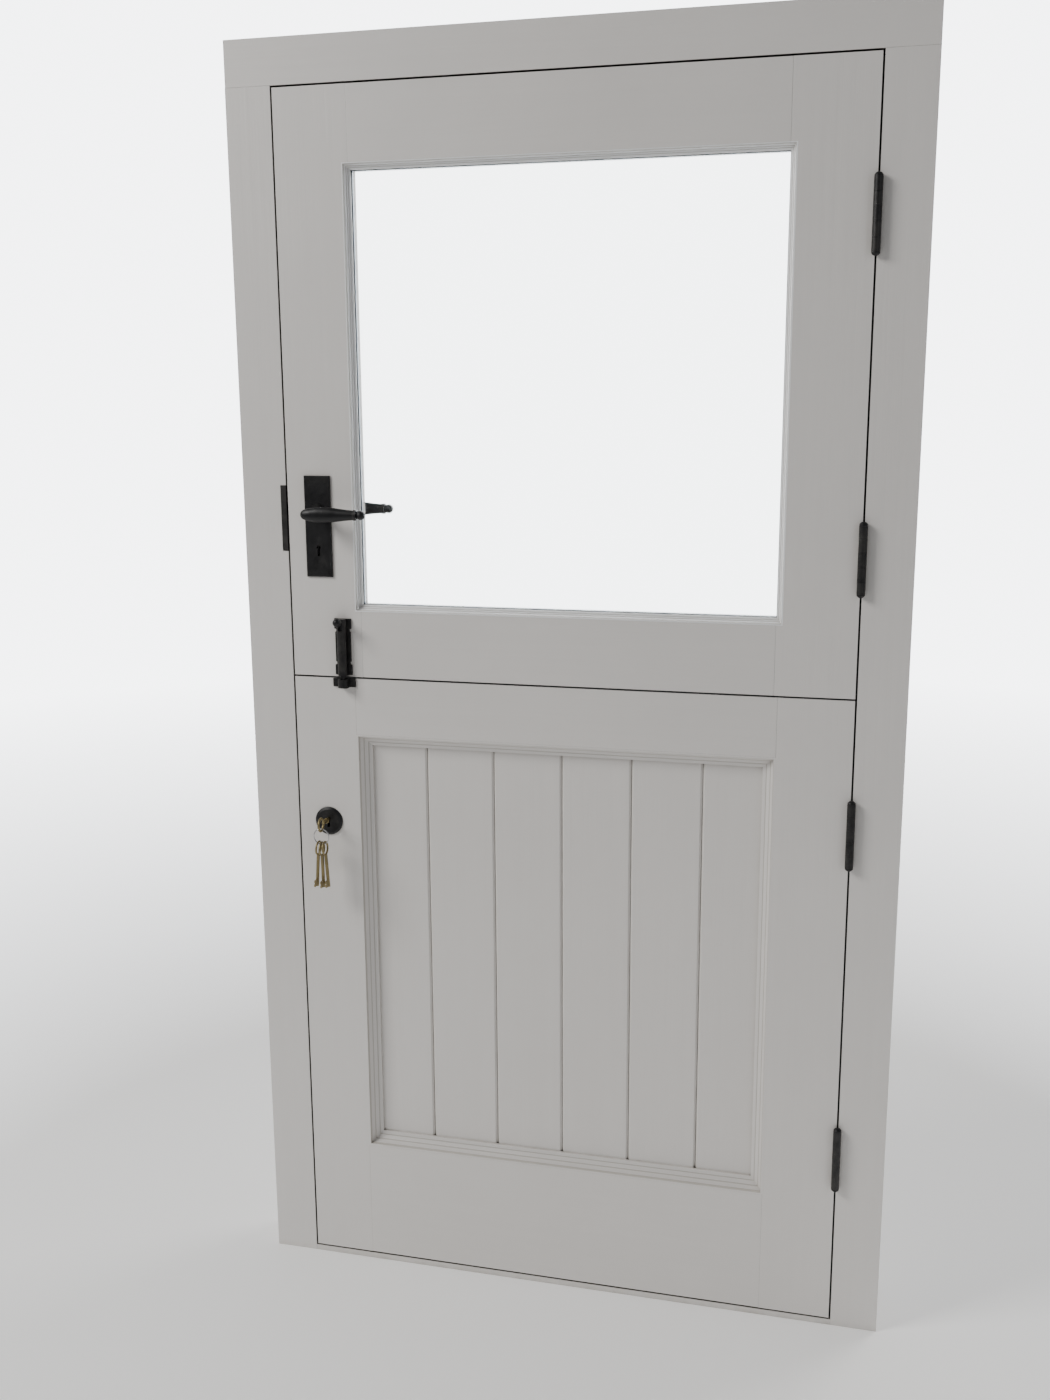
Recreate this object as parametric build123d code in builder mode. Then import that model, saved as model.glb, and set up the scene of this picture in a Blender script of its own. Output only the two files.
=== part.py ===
from build123d import *
import os
from math import atan2, cos, degrees, radians, sin, sqrt

os.makedirs("parts", exist_ok=True)

# A stable door in its rebated timber frame: two leaves, one above the other, that open to
# the room on butt hinges at the right, as seen from the room.
# X runs to the right as seen from the room, Y to the outside and Z up. The origin is on the
# floor, midway between the jambs and midway through the depth of the frame. Millimetres.

# Leaves
leaf_width = 915.0
lower_leaf_height = 1058.0
upper_leaf_height = 920.0
leaf_thickness = 44.0
side_gap = 3.0
head_gap = 3.0
sill_gap = 3.0
meeting_gap = 3.0

# Frame
frame_depth = 94.0
jamb_face = 75.0
head_face = 70.0
stop_step = 14.0
stop_chamfer = 6.0
seal_gap = 3.0
seal_thickness = 2.7
seal_width = 8.0
seal_inset = 2.0

# Threshold
tread_height = 10.0
upstand_height = 15.0
upstand_top = 6.0
nose_length = 30.0
nose_height = 12.0
drip_radius = 3.0
drip_inset = 10.0

# Upper leaf and its glazing
upper_lock_stile_width = 110.5
upper_hinge_stile_width = 112.5
upper_top_rail_width = 113.5
upper_bottom_rail_width = 109.5
glazing_lip = 10.0
glazing_rebate_depth = 28.0
splay = 8.0
pane_thickness = 4.0
pane_space = 6.0
pane_edge_gap = 3.0
spacer_width = 5.0
bead_width = 10.0
bead_flat = 2.0
bead_step = 1.6
bead_toe = 3.5
bead_bulge = 2.0

# Lower leaf and its panel
lower_lock_stile_width = 106.0
lower_hinge_stile_width = 116.5
lower_top_rail_width = 95.5
lower_bottom_rail_width = 211.5
panel_recess = 22.0
board_count = 6
board_thickness = 15.0
board_gap = 0.4
board_vee = 3.5
tongue_length = 5.0
tongue_thickness = 4.6
tongue_fit = 0.2
groove_depth = 10.0
groove_fit = 0.2
groove_edge_gap = 0.8
moulding_width = 21.0
moulding_flat = 3.0
moulding_step = 2.5
moulding_toe = 4.0
moulding_bulge = 3.5

# Weather board on the outside of the lower leaf
weather_board_height = 46.0
weather_board_depth = 38.0
weather_board_nose = 14.0
weather_board_top = 5.0
weather_board_hollow = 3.0
weather_board_lift = 17.0
weather_board_inset = 12.0

# Butt hinges
hinge_length = 102.0
hinge_tip = 6.0
tip_flat = 2.0
flap_thickness = 2.5
flap_depth = 30.0
knuckle_radius = 6.5
knuckle_count = 5
knuckle_gap = 0.4
knuckle_stand_off = 0.5
pin_radius = 3.15
pin_clearance = 0.05
tip_radius = 6.3
top_hinge_from_top = 217.0
second_hinge_from_bottom = 213.0
third_hinge_from_top = 212.5
bottom_hinge_from_bottom = 295.0
flap_screw_rows = (-38.0, -13.0, 13.0, 38.0)
flap_screw_near = 9.0
flap_screw_far = 21.0

# Wood screws
# Each size is (head radius, shank radius, depth of the head, length)
wood_screw = (3.6, 1.9, 2.2, 18.0)
small_screw = (2.6, 1.4, 1.6, 11.0)
screw_fit = 0.1

# Locks
lock_backset = 52.0
spindle_above_leaf_foot = 270.5
key_below_spindle = 57.0
key_below_leaf_top = 245.0
bolt_above_key = 24.0
case_thickness = 16.0
case_depth = 72.0
case_fit = 0.4
case_above_spindle = 30.0
case_below_key = 24.0
case_above_bolt = 18.0
case_wall = 1.5
forend_width = 22.0
forend_thickness = 3.0
forend_overhang = 20.0
forend_screw_inset = 8.0
bolt_thickness = 10.0
bolt_height = 20.0
bolt_length = 58.0
bolt_throw = 14.0
bolt_fit = 0.25
latch_thickness = 12.0
latch_height = 18.0
latch_length = 34.0
latch_throw = 10.0
latch_bevel = 8.0
case_spindle_hole = 6.3
stile_spindle_hole = 8.0

# Strike plates in the lock jamb
strike_thickness = 2.0
strike_clearance = 1.5
strike_pocket_margin = 4.0
strike_width = 38.0
strike_height = 107.0
strike_below_spindle = 64.0
strike_lip = 9.5
strike_lip_proud = 0.6
strike_corner = 5.0
strike_screw_inset = 10.0
lower_strike_height = 64.0
lower_strike_width = 26.0

# Lever furniture
plate_width = 44.5
plate_height = 164.0
plate_thickness = 4.0
plate_bevel = 1.2
plate_top_above_spindle = 59.0
plate_screw_inset_x = 7.0
plate_screw_inset_z = 8.0
rose_radius = 14.0
rose_height = 4.0
rose_taper = 12.0
lever_clearance = 0.3
lever_neck_radius = 9.0
lever_projection = 46.0
spindle_side = 8.0
spindle_fit = 0.1
spindle_socket = 24.0
arm_sections = (
    (-11.0, 3.6, 3.2),
    (-9.6, 5.6, 4.7),
    (-7.5, 7.3, 6.1),
    (-4.5, 8.6, 7.3),
    (0.0, 9.8, 8.2),
    (6.0, 10.9, 8.7),
    (13.0, 12.0, 8.9),
    (21.0, 12.6, 8.9),
    (30.0, 12.5, 8.7),
    (40.0, 11.7, 8.3),
    (50.0, 10.6, 7.8),
    (60.0, 9.4, 7.4),
    (70.0, 8.3, 7.0),
    (80.0, 7.4, 6.6),
)
arm_collar_radius = 8.6
arm_collar_length = 5.0
arm_collar_bite = 1.5
arm_neck_radius = 5.6
arm_neck_length = 2.0
arm_ball_radius = 7.4

# Keyholes
keyhole_radius = 3.6
keyhole_slot = 4.6
keyhole_drop = 14.0
stile_keyhole_margin = 0.8

# Stable bolt and its keep
stable_bolt_from_edge = 88.5
stable_plate_lift = 3.5
stable_plate_height = 94.0
stable_plate_width = 29.0
stable_plate_waist = 22.5
stable_plate_thickness = 3.0
stable_lobe_height = 17.0
stable_notch_height = 5.0
stable_body_width = 26.5
stable_guide_width = 15.0
stable_corner = 0.8
rod_radius = 4.5
rod_clearance = 0.08
rod_behind = 1.0
rod_end_gap = 0.5
rod_travel = 13.0
knob_neck_radius = 3.0
knob_neck_fit = 0.3
knob_radius = 7.0
knob_reach = 19.0
knob_below_top = 3.5
stable_screw_inset = 3.4
keep_width = 39.0
keep_height = 14.0
keep_bulge = 3.0
keep_guide_width = 17.0
keep_clearance = 0.5

# Lower lock furniture, its key and the ring of keys
escutcheon_radius = 24.25
escutcheon_thickness = 4.0
escutcheon_edge = 1.6
escutcheon_bevel = 4.0
escutcheon_drop = 3.5
escutcheon_screw_radius = 16.0
key_shaft_radius = 3.0
key_bow_radius = 10.6
key_bow_section = 2.0
key_bow_reach = 38.0
key_collar_radius = 4.6
key_collar_length = 3.0
key_collar_reach = 11.0
key_bit_reach = 12.0
key_bit_length = 11.0
key_bit_thickness = 2.6
key_bit_cut = 3.0
key_tip_length = 1.5
key_cavity_radius = 13.0
key_cavity_depth = 12.6
ring_radius = 13.3
ring_wire = 0.9
hang_gap = 0.3
hung_gap = 0.5
hung_bow_section = 1.7
hung_bow_radius = 10.8
hung_key_length = 80.0
hung_shaft_radius = 2.8
hung_keys = ((-5.4, 4.0), (0.0, -0.6), (5.4, -3.6))

# Levels and planes that follow from the sizes above
room_face = -frame_depth / 2
outer_face = frame_depth / 2
leaf_back = room_face + leaf_thickness
leaf_middle = room_face + leaf_thickness / 2
stop_face = leaf_back + seal_gap
leaf_left = -leaf_width / 2
leaf_right = leaf_width / 2
opening_half = leaf_width / 2 + side_gap
stop_half = opening_half - stop_step
frame_half = opening_half + jamb_face
lower_bottom = tread_height + sill_gap
lower_top = lower_bottom + lower_leaf_height
upper_bottom = lower_top + meeting_gap
upper_top = upper_bottom + upper_leaf_height
opening_top = upper_top + head_gap
upstand_level = tread_height + upstand_height

glass_left = leaf_left + upper_lock_stile_width
glass_right = leaf_right - upper_hinge_stile_width
glass_bottom = upper_bottom + upper_bottom_rail_width
glass_top = upper_top - upper_top_rail_width
bead_depth = glazing_rebate_depth - 2 * pane_thickness - pane_space

panel_left = leaf_left + lower_lock_stile_width
panel_right = leaf_right - lower_hinge_stile_width
panel_bottom = lower_bottom + lower_bottom_rail_width
panel_top = lower_top - lower_top_rail_width
board_front = room_face + panel_recess
board_back = board_front + board_thickness

hinge_x = (leaf_right + opening_half) / 2
hinge_y = room_face - knuckle_radius - knuckle_stand_off
upper_hinges = (upper_top - top_hinge_from_top, upper_bottom + second_hinge_from_bottom)
lower_hinges = (lower_top - third_hinge_from_top, lower_bottom + bottom_hinge_from_bottom)
all_hinges = upper_hinges + lower_hinges

lock_x = leaf_left + lock_backset
spindle_height = upper_bottom + spindle_above_leaf_foot
lower_key_height = lower_top - key_below_leaf_top
upper_key_height = spindle_height - key_below_spindle
upper_bolt_height = upper_key_height + bolt_above_key
lower_bolt_height = lower_key_height + bolt_above_key
upper_case_bottom = upper_key_height - case_below_key
upper_case_top = spindle_height + case_above_spindle
lower_case_bottom = lower_key_height - case_below_key
lower_case_top = lower_bolt_height + case_above_bolt
strike_bottom = spindle_height - strike_below_spindle
lower_strike_bottom = lower_bolt_height - lower_strike_height / 2


# Shared outlines and small pieces

def facing_room(x, y, z):
    """Plane that looks at the room: local x along X, local y along Z."""
    return Plane(origin=(x, y, z), x_dir=(1, 0, 0), z_dir=(0, -1, 0))


def facing_outside(x, y, z):
    """Plane that looks outside: local x along -X, local y along Z."""
    return Plane(origin=(x, y, z), x_dir=(-1, 0, 0), z_dir=(0, 1, 0))


def plank(x_low, x_high, z_low, z_high, y_low, y_high):
    """Rectangle on the room side of a piece, ready to be extruded through its thickness."""
    centre = facing_outside((x_low + x_high) / 2, y_low, (z_low + z_high) / 2)
    with BuildSketch(centre) as outline:
        Rectangle(x_high - x_low, z_high - z_low)
    return extrude(outline.sketch, amount=y_high - y_low, mode=Mode.PRIVATE)


def jamb_outline(side):
    """Section of a jamb, seen from above: side is -1 at the lock and 1 at the hinges."""
    with BuildSketch() as outline:
        with BuildLine():
            Polyline(
                (side * frame_half, room_face),
                (side * opening_half, room_face),
                (side * opening_half, stop_face),
                (side * stop_half, stop_face),
                (side * stop_half, outer_face - stop_chamfer),
                (side * (stop_half + stop_chamfer), outer_face),
                (side * frame_half, outer_face),
                close=True,
            )
        make_face()
    return outline.sketch


def screw_profile(size, grow):
    """Half section of a countersunk screw, head at the origin and shank down its local -y."""
    head_radius, shank_radius, head_depth, length = size
    with BuildSketch(Plane.XY, mode=Mode.PRIVATE) as outline:
        with BuildLine():
            Polyline(
                (0, 0),
                (head_radius + grow, 0),
                (shank_radius + grow, -head_depth),
                (shank_radius + grow, -length - grow),
                (0, -length - grow),
                close=True,
            )
        make_face()
    return outline.sketch


def screws(places, grow=0.0, mode=Mode.ADD):
    """Countersunk screws, each given as (head centre, driving direction, size)."""
    for head, direction, size in places:
        driving = Vector(*direction)
        across = Vector(0, 0, 1) if abs(driving.Z) < 0.5 else Vector(1, 0, 0)
        plane = Plane(origin=head, x_dir=across, z_dir=across.cross(-driving))
        revolve(plane * screw_profile(size, grow), axis=Axis(head, direction), mode=mode)


def keyhole(plane, grow=0.0):
    """Round hole for the key's shaft with a slot below it for the bit."""
    with BuildSketch(plane) as outline:
        Circle(keyhole_radius + grow)
        with Locations((0, -keyhole_drop / 2)):
            Rectangle(keyhole_slot + 2 * grow, keyhole_drop + 2 * grow)
    return outline.sketch


def stepped_ovolo(width, depth, flat, step, toe, bulge):
    """Moulding section: x runs in from the rail's edge, y from the room side to the back."""
    with BuildSketch(Plane.XY, mode=Mode.PRIVATE) as outline:
        with BuildLine():
            Polyline((width, depth), (0, depth), (0, 0), (flat, 0), (flat, step))
            SagittaArc((flat, step), (width, depth - toe), bulge)
            Line((width, depth - toe), (width, depth))
        make_face()
    return outline.sketch


def mitred_length(section, corner, run, inward, length, width, depth):
    """One side of a mitred moulding, from its outer corner along run."""
    with BuildPart() as piece:
        across = Plane(origin=corner, x_dir=inward, z_dir=run)
        extrude(across * section, amount=length)
        face = Plane(origin=corner, x_dir=run, z_dir=(0, 1, 0))
        with BuildSketch(face):
            with BuildLine():
                Polyline(
                    (0, 0),
                    (length, 0),
                    (length - width, width),
                    (width, width),
                    close=True,
                )
            make_face()
        extrude(amount=depth, both=True, mode=Mode.INTERSECT)
    return piece.part


def moulding_sides(left, right, bottom, top):
    """Outer corner, run, inward direction and length of the four sides of an opening."""
    wide = right - left
    tall = top - bottom
    return {
        "top": ((left, room_face, top), (1, 0, 0), (0, 0, -1), wide),
        "hinge_side": ((right, room_face, top), (0, 0, -1), (-1, 0, 0), tall),
        "bottom": ((right, room_face, bottom), (-1, 0, 0), (0, 0, 1), wide),
        "lock_side": ((left, room_face, bottom), (0, 0, 1), (1, 0, 0), tall),
    }


# Where the screws go

def flap_screws(heights, face, direction):
    """Four staggered screws in each hinge flap."""
    places = []
    for height in heights:
        for index, row in enumerate(flap_screw_rows):
            setting = flap_screw_near if index % 2 == 0 else flap_screw_far
            places.append(((face, room_face + setting, height + row), (direction, 0, 0), wood_screw))
    return places


def strike_screws(bottom, height):
    """Two screws in a strike plate."""
    return [
        ((-opening_half, leaf_middle, level), (-1, 0, 0), wood_screw)
        for level in (bottom + strike_screw_inset, bottom + height - strike_screw_inset)
    ]


def forend_screws(case_bottom, case_top):
    """Two screws in a lock's forend, beyond the ends of its case."""
    reach = forend_overhang - forend_screw_inset
    return [
        ((leaf_left, leaf_middle, level), (1, 0, 0), wood_screw)
        for level in (case_bottom - reach, case_top + reach)
    ]


def plate_screws(face, direction):
    """Four screws in the corners of a lever plate."""
    x_step = plate_width / 2 - plate_screw_inset_x
    top = spindle_height + plate_top_above_spindle
    levels = (top - plate_screw_inset_z, top - plate_height + plate_screw_inset_z)
    return [
        ((lock_x + side * x_step, face, level), (0, direction, 0), wood_screw)
        for side in (-1, 1)
        for level in levels
    ]


stable_x = leaf_left + stable_bolt_from_edge
stable_plate_bottom = upper_bottom + stable_plate_lift
stable_plate_top = stable_plate_bottom + stable_plate_height
stable_screw_x = stable_plate_width / 2 - stable_screw_inset
stable_screws = [
    (
        (stable_x + side * stable_screw_x, room_face - stable_plate_thickness, level),
        (0, 1, 0),
        small_screw,
    )
    for side in (-1, 1)
    for level in (
        stable_plate_bottom + stable_lobe_height / 2,
        stable_plate_top - stable_lobe_height / 2,
    )
]
keep_screw_x = (keep_width + keep_guide_width) / 4
keep_screws = [
    (
        (stable_x + side * keep_screw_x, room_face - stable_plate_thickness, lower_top - keep_height / 2),
        (0, 1, 0),
        small_screw,
    )
    for side in (-1, 1)
]


def escutcheon_screws(face, direction):
    """Two screws, one each side of the keyhole."""
    level = lower_key_height - escutcheon_drop
    return [
        ((lock_x + side * escutcheon_screw_radius, face, level), (0, direction, 0), small_screw)
        for side in (-1, 1)
    ]


frame_screw_places = (
    flap_screws(all_hinges, opening_half, 1)
    + strike_screws(strike_bottom, strike_height)
    + strike_screws(lower_strike_bottom, lower_strike_height)
)
upper_screw_places = (
    flap_screws(upper_hinges, leaf_right, -1)
    + forend_screws(upper_case_bottom, upper_case_top)
    + plate_screws(room_face - plate_thickness, 1)
    + plate_screws(leaf_back + plate_thickness, -1)
    + stable_screws
)
lower_screw_places = (
    flap_screws(lower_hinges, leaf_right, -1)
    + forend_screws(lower_case_bottom, lower_case_top)
    + escutcheon_screws(room_face - escutcheon_thickness, 1)
    + escutcheon_screws(leaf_back + escutcheon_thickness, -1)
    + keep_screws
)


# Frame

def hinge_seats(heights, face, direction):
    """Shallow housings in an edge, each the size of a hinge flap."""
    with BuildSketch(Plane.YZ.offset(face)) as seats:
        with Locations(*[(room_face + flap_depth / 2, height) for height in heights]):
            Rectangle(flap_depth, hinge_length)
    extrude(seats.sketch, amount=direction * flap_thickness, mode=Mode.SUBTRACT)


def strike_pocket(bolt_level, height, thickness):
    """Mortise behind a strike plate for one bolt."""
    with BuildSketch(Plane.YZ.offset(-opening_half)) as mouth:
        with Locations((leaf_middle, bolt_level)):
            Rectangle(thickness + 2 * strike_clearance, height + 2 * strike_clearance)
    extrude(mouth.sketch, amount=-bolt_throw - strike_pocket_margin, mode=Mode.SUBTRACT)


with BuildPart() as frame_lock_jamb:
    extrude(jamb_outline(-1), amount=opening_top)
    with BuildSketch(Plane.XY.offset(strike_bottom)):
        with BuildLine():
            Polyline(
                (-opening_half - strike_lip, room_face),
                (-opening_half, room_face),
                (-opening_half, room_face + strike_width),
                (-opening_half - strike_thickness, room_face + strike_width),
                (-opening_half - strike_thickness, room_face + strike_thickness - strike_lip_proud),
                (-opening_half - strike_lip, room_face + strike_thickness - strike_lip_proud),
                close=True,
            )
        make_face()
    extrude(amount=strike_height, mode=Mode.SUBTRACT)
    with BuildSketch(Plane.YZ.offset(-opening_half)):
        with Locations((leaf_middle, lower_bolt_height)):
            Rectangle(lower_strike_width, lower_strike_height)
    extrude(amount=-strike_thickness, mode=Mode.SUBTRACT)
    strike_pocket(spindle_height, latch_height, latch_thickness)
    strike_pocket(upper_bolt_height, bolt_height, bolt_thickness)
    strike_pocket(lower_bolt_height, bolt_height, bolt_thickness)
    screws(
        strike_screws(strike_bottom, strike_height) + strike_screws(lower_strike_bottom, lower_strike_height),
        screw_fit,
        Mode.SUBTRACT,
    )
frame_lock_jamb.part.label = "frame_lock_jamb"
export_step(frame_lock_jamb.part, "parts/frame_lock_jamb.step")

with BuildPart() as frame_hinge_jamb:
    extrude(jamb_outline(1), amount=opening_top)
    hinge_seats(all_hinges, opening_half, 1)
    screws(flap_screws(all_hinges, opening_half, 1), screw_fit, Mode.SUBTRACT)
frame_hinge_jamb.part.label = "frame_hinge_jamb"
export_step(frame_hinge_jamb.part, "parts/frame_hinge_jamb.step")

with BuildPart() as frame_head:
    with BuildSketch(Plane.XY.offset(opening_top)):
        Rectangle(2 * frame_half, frame_depth)
    extrude(amount=head_face)
    with BuildSketch(Plane.YZ.offset(-stop_half)):
        with BuildLine():
            Polyline(
                (stop_face, opening_top),
                (stop_face, opening_top - stop_step),
                (outer_face - stop_chamfer, opening_top - stop_step),
                (outer_face, opening_top - stop_step + stop_chamfer),
                (outer_face, opening_top),
                close=True,
            )
        make_face()
    extrude(amount=2 * stop_half)
frame_head.part.label = "frame_head"
export_step(frame_head.part, "parts/frame_head.step")

with BuildPart() as frame_threshold:
    nose = outer_face + nose_length
    with BuildSketch(Plane.YZ.offset(-frame_half)) as section:
        with BuildLine():
            Polyline(
                (room_face, 0),
                (nose, 0),
                (nose, nose_height),
                (stop_face + upstand_top, upstand_level),
                (stop_face, upstand_level),
                (stop_face, tread_height),
                (room_face, tread_height),
                close=True,
            )
        make_face()
        with Locations((nose - drip_inset, 0)):
            Circle(drip_radius, mode=Mode.SUBTRACT)
    extrude(amount=2 * frame_half)
    for side in (-1, 1):
        extrude(jamb_outline(side), amount=upstand_level, mode=Mode.SUBTRACT)
frame_threshold.part.label = "frame_threshold"
export_step(frame_threshold.part, "parts/frame_threshold.step")

with BuildPart() as frame_seal:
    seal_low = upstand_level - seal_inset - seal_width
    seal_high = opening_top - stop_step + seal_inset + seal_width
    seal_middle = (seal_low + seal_high) / 2
    with BuildSketch(facing_room(0, stop_face, seal_middle)):
        Rectangle(2 * (stop_half + seal_inset + seal_width), seal_high - seal_low)
        Rectangle(
            2 * (stop_half + seal_inset),
            seal_high - seal_low - 2 * seal_width,
            mode=Mode.SUBTRACT,
        )
    extrude(amount=seal_thickness)
    chamfer(frame_seal.faces().sort_by(Axis.Y)[0].edges(), seal_thickness / 3)
frame_seal.part.label = "frame_seal"
export_step(frame_seal.part, "parts/frame_seal.step")

with BuildPart() as upper_strike_plate:
    with BuildSketch(Plane.XY.offset(strike_bottom)) as section:
        with BuildLine():
            Polyline(
                (-opening_half - strike_lip, room_face - strike_lip_proud),
                (-opening_half, room_face - strike_lip_proud),
                (-opening_half, room_face + strike_width),
                (-opening_half - strike_thickness, room_face + strike_width),
                (-opening_half - strike_thickness, room_face + strike_thickness - strike_lip_proud),
                (-opening_half - strike_lip, room_face + strike_thickness - strike_lip_proud),
                close=True,
            )
        make_face()
    extrude(amount=strike_height)
    corner = upper_strike_plate.edges().filter_by(Axis.Y).group_by(Axis.X)[0].sort_by(Axis.Z)[0]
    fillet(corner, strike_corner)
    strike_pocket(spindle_height, latch_height, latch_thickness)
    strike_pocket(upper_bolt_height, bolt_height, bolt_thickness)
    screws(strike_screws(strike_bottom, strike_height), screw_fit, Mode.SUBTRACT)
upper_strike_plate.part.label = "upper_strike_plate"
export_step(upper_strike_plate.part, "parts/upper_strike_plate.step")

with BuildPart() as lower_strike_plate:
    with BuildSketch(Plane.YZ.offset(-opening_half)) as section:
        with Locations((leaf_middle, lower_bolt_height)):
            Rectangle(lower_strike_width, lower_strike_height)
    extrude(amount=-strike_thickness)
    strike_pocket(lower_bolt_height, bolt_height, bolt_thickness)
    screws(strike_screws(lower_strike_bottom, lower_strike_height), screw_fit, Mode.SUBTRACT)
lower_strike_plate.part.label = "lower_strike_plate"
export_step(lower_strike_plate.part, "parts/lower_strike_plate.step")

with BuildPart() as frame_screws:
    screws(frame_screw_places)
frame_screws.part.label = "frame_screws"
export_step(frame_screws.part, "parts/frame_screws.step")


# Butt hinges

def knuckle_spans(height, owner):
    """Low and high level of the knuckles that belong to the frame (0) or to the leaf (1)."""
    pitch = hinge_length / knuckle_count
    bottom = height - hinge_length / 2
    return [
        (bottom + index * pitch + knuckle_gap / 2, bottom + (index + 1) * pitch - knuckle_gap / 2)
        for index in range(knuckle_count)
        if index % 2 == owner
    ]


def hinge_flap(height, owner):
    """One flap with its rolled knuckles, let into the jamb (0) or the leaf's edge (1)."""
    outward = 1 if owner == 0 else -1
    face = opening_half if owner == 0 else leaf_right
    flap_x = face + outward * flap_thickness / 2
    with BuildSketch(Plane.XY.offset(height - hinge_length / 2)) as flap:
        with Locations((flap_x, room_face + flap_depth / 2)):
            Rectangle(flap_thickness, flap_depth)
    extrude(flap.sketch, amount=hinge_length)
    for low, high in knuckle_spans(height, owner):
        with BuildSketch(Plane.XY.offset(low)) as roll:
            with Locations((hinge_x, hinge_y)):
                Circle(knuckle_radius)
            with Locations((flap_x, (hinge_y + room_face) / 2)):
                Rectangle(flap_thickness, room_face - hinge_y)
            with Locations((hinge_x, hinge_y)):
                Circle(pin_radius + pin_clearance, mode=Mode.SUBTRACT)
        extrude(roll.sketch, amount=high - low)


def hinge_flaps(heights, owner, screw_places):
    """The flaps of several hinges on one piece, with their screw holes."""
    for height in heights:
        hinge_flap(height, owner)
    screws(screw_places, screw_fit, Mode.SUBTRACT)


with BuildPart() as frame_hinge_flaps:
    hinge_flaps(all_hinges, 0, flap_screws(all_hinges, opening_half, 1))
frame_hinge_flaps.part.label = "frame_hinge_flaps"
export_step(frame_hinge_flaps.part, "parts/frame_hinge_flaps.step")

with BuildPart() as upper_hinge_flaps:
    hinge_flaps(upper_hinges, 1, flap_screws(upper_hinges, leaf_right, -1))
upper_hinge_flaps.part.label = "upper_hinge_flaps"
export_step(upper_hinge_flaps.part, "parts/upper_hinge_flaps.step")

with BuildPart() as lower_hinge_flaps:
    hinge_flaps(lower_hinges, 1, flap_screws(lower_hinges, leaf_right, -1))
lower_hinge_flaps.part.label = "lower_hinge_flaps"
export_step(lower_hinge_flaps.part, "parts/lower_hinge_flaps.step")

with BuildPart() as hinge_pins:
    half_length = hinge_length / 2
    dome_rise = hinge_tip - tip_flat
    dome_radius = (tip_radius**2 + dome_rise**2) / (2 * dome_rise)
    with BuildSketch(mode=Mode.PRIVATE) as half_pin:
        with BuildLine():
            Line((0, -half_length - hinge_tip), (0, half_length + hinge_tip))
            RadiusArc((0, half_length + hinge_tip), (tip_radius, half_length + tip_flat), dome_radius)
            Polyline(
                (tip_radius, half_length + tip_flat),
                (tip_radius, half_length),
                (pin_radius, half_length),
                (pin_radius, -half_length),
                (tip_radius, -half_length),
                (tip_radius, -half_length - tip_flat),
            )
            RadiusArc((tip_radius, -half_length - tip_flat), (0, -half_length - hinge_tip), dome_radius)
        make_face()
    for height in all_hinges:
        axis_plane = facing_room(hinge_x, hinge_y, height)
        revolve(axis_plane * half_pin.sketch, axis=Axis((hinge_x, hinge_y, height), (0, 0, 1)))
hinge_pins.part.label = "hinge_pins"
export_step(hinge_pins.part, "parts/hinge_pins.step")


# Upper leaf

sight_left = glass_left + glazing_lip
sight_right = glass_right - glazing_lip
sight_bottom = glass_bottom + glazing_lip
sight_top = glass_top - glazing_lip
glass_x = (glass_left + glass_right) / 2
glass_z = (glass_bottom + glass_top) / 2


def glazing_rebate():
    """Rebate for the glass on the room side and the splay around it on the outside."""
    with BuildSketch(facing_outside(glass_x, room_face, glass_z)) as rebate:
        Rectangle(glass_right - glass_left, glass_top - glass_bottom)
    extrude(rebate.sketch, amount=glazing_rebate_depth, mode=Mode.SUBTRACT)
    with BuildSketch(facing_outside(glass_x, leaf_back - splay, glass_z)) as sight:
        Rectangle(sight_right - sight_left, sight_top - sight_bottom)
    extrude(sight.sketch, amount=splay, taper=-45, mode=Mode.SUBTRACT)


def lock_mortise(case_bottom, case_top):
    """Pocket in a lock stile for a lock case, with the housing of its forend."""
    middle = (case_bottom + case_top) / 2
    height = case_top - case_bottom
    with BuildSketch(Plane.YZ.offset(leaf_left)) as pocket:
        with Locations((leaf_middle, middle)):
            Rectangle(case_thickness + 2 * case_fit, height + 2 * case_fit)
    extrude(pocket.sketch, amount=case_depth + case_fit, mode=Mode.SUBTRACT)
    with BuildSketch(Plane.YZ.offset(leaf_left)) as housing:
        with Locations((leaf_middle, middle)):
            Rectangle(forend_width, height + 2 * forend_overhang)
    extrude(housing.sketch, amount=forend_thickness, mode=Mode.SUBTRACT)


def stile_keyhole(key_height):
    """Keyhole through a stile, a little wider than the one in the plates."""
    plane = facing_outside(lock_x, room_face, key_height)
    extrude(keyhole(plane, stile_keyhole_margin), amount=leaf_thickness, mode=Mode.SUBTRACT)


with BuildPart() as upper_lock_stile:
    add(plank(leaf_left, sight_left, upper_bottom, upper_top, room_face, leaf_back))
    glazing_rebate()
    lock_mortise(upper_case_bottom, upper_case_top)
    stile_keyhole(upper_key_height)
    with BuildSketch(facing_outside(lock_x, room_face, spindle_height)):
        Circle(stile_spindle_hole)
    extrude(amount=leaf_thickness, mode=Mode.SUBTRACT)
    screws(
        forend_screws(upper_case_bottom, upper_case_top)
        + plate_screws(room_face - plate_thickness, 1)
        + plate_screws(leaf_back + plate_thickness, -1)
        + stable_screws,
        screw_fit,
        Mode.SUBTRACT,
    )
upper_lock_stile.part.label = "upper_lock_stile"
export_step(upper_lock_stile.part, "parts/upper_lock_stile.step")

with BuildPart() as upper_hinge_stile:
    add(plank(sight_right, leaf_right, upper_bottom, upper_top, room_face, leaf_back))
    glazing_rebate()
    hinge_seats(upper_hinges, leaf_right, -1)
    screws(flap_screws(upper_hinges, leaf_right, -1), screw_fit, Mode.SUBTRACT)
upper_hinge_stile.part.label = "upper_hinge_stile"
export_step(upper_hinge_stile.part, "parts/upper_hinge_stile.step")

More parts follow.
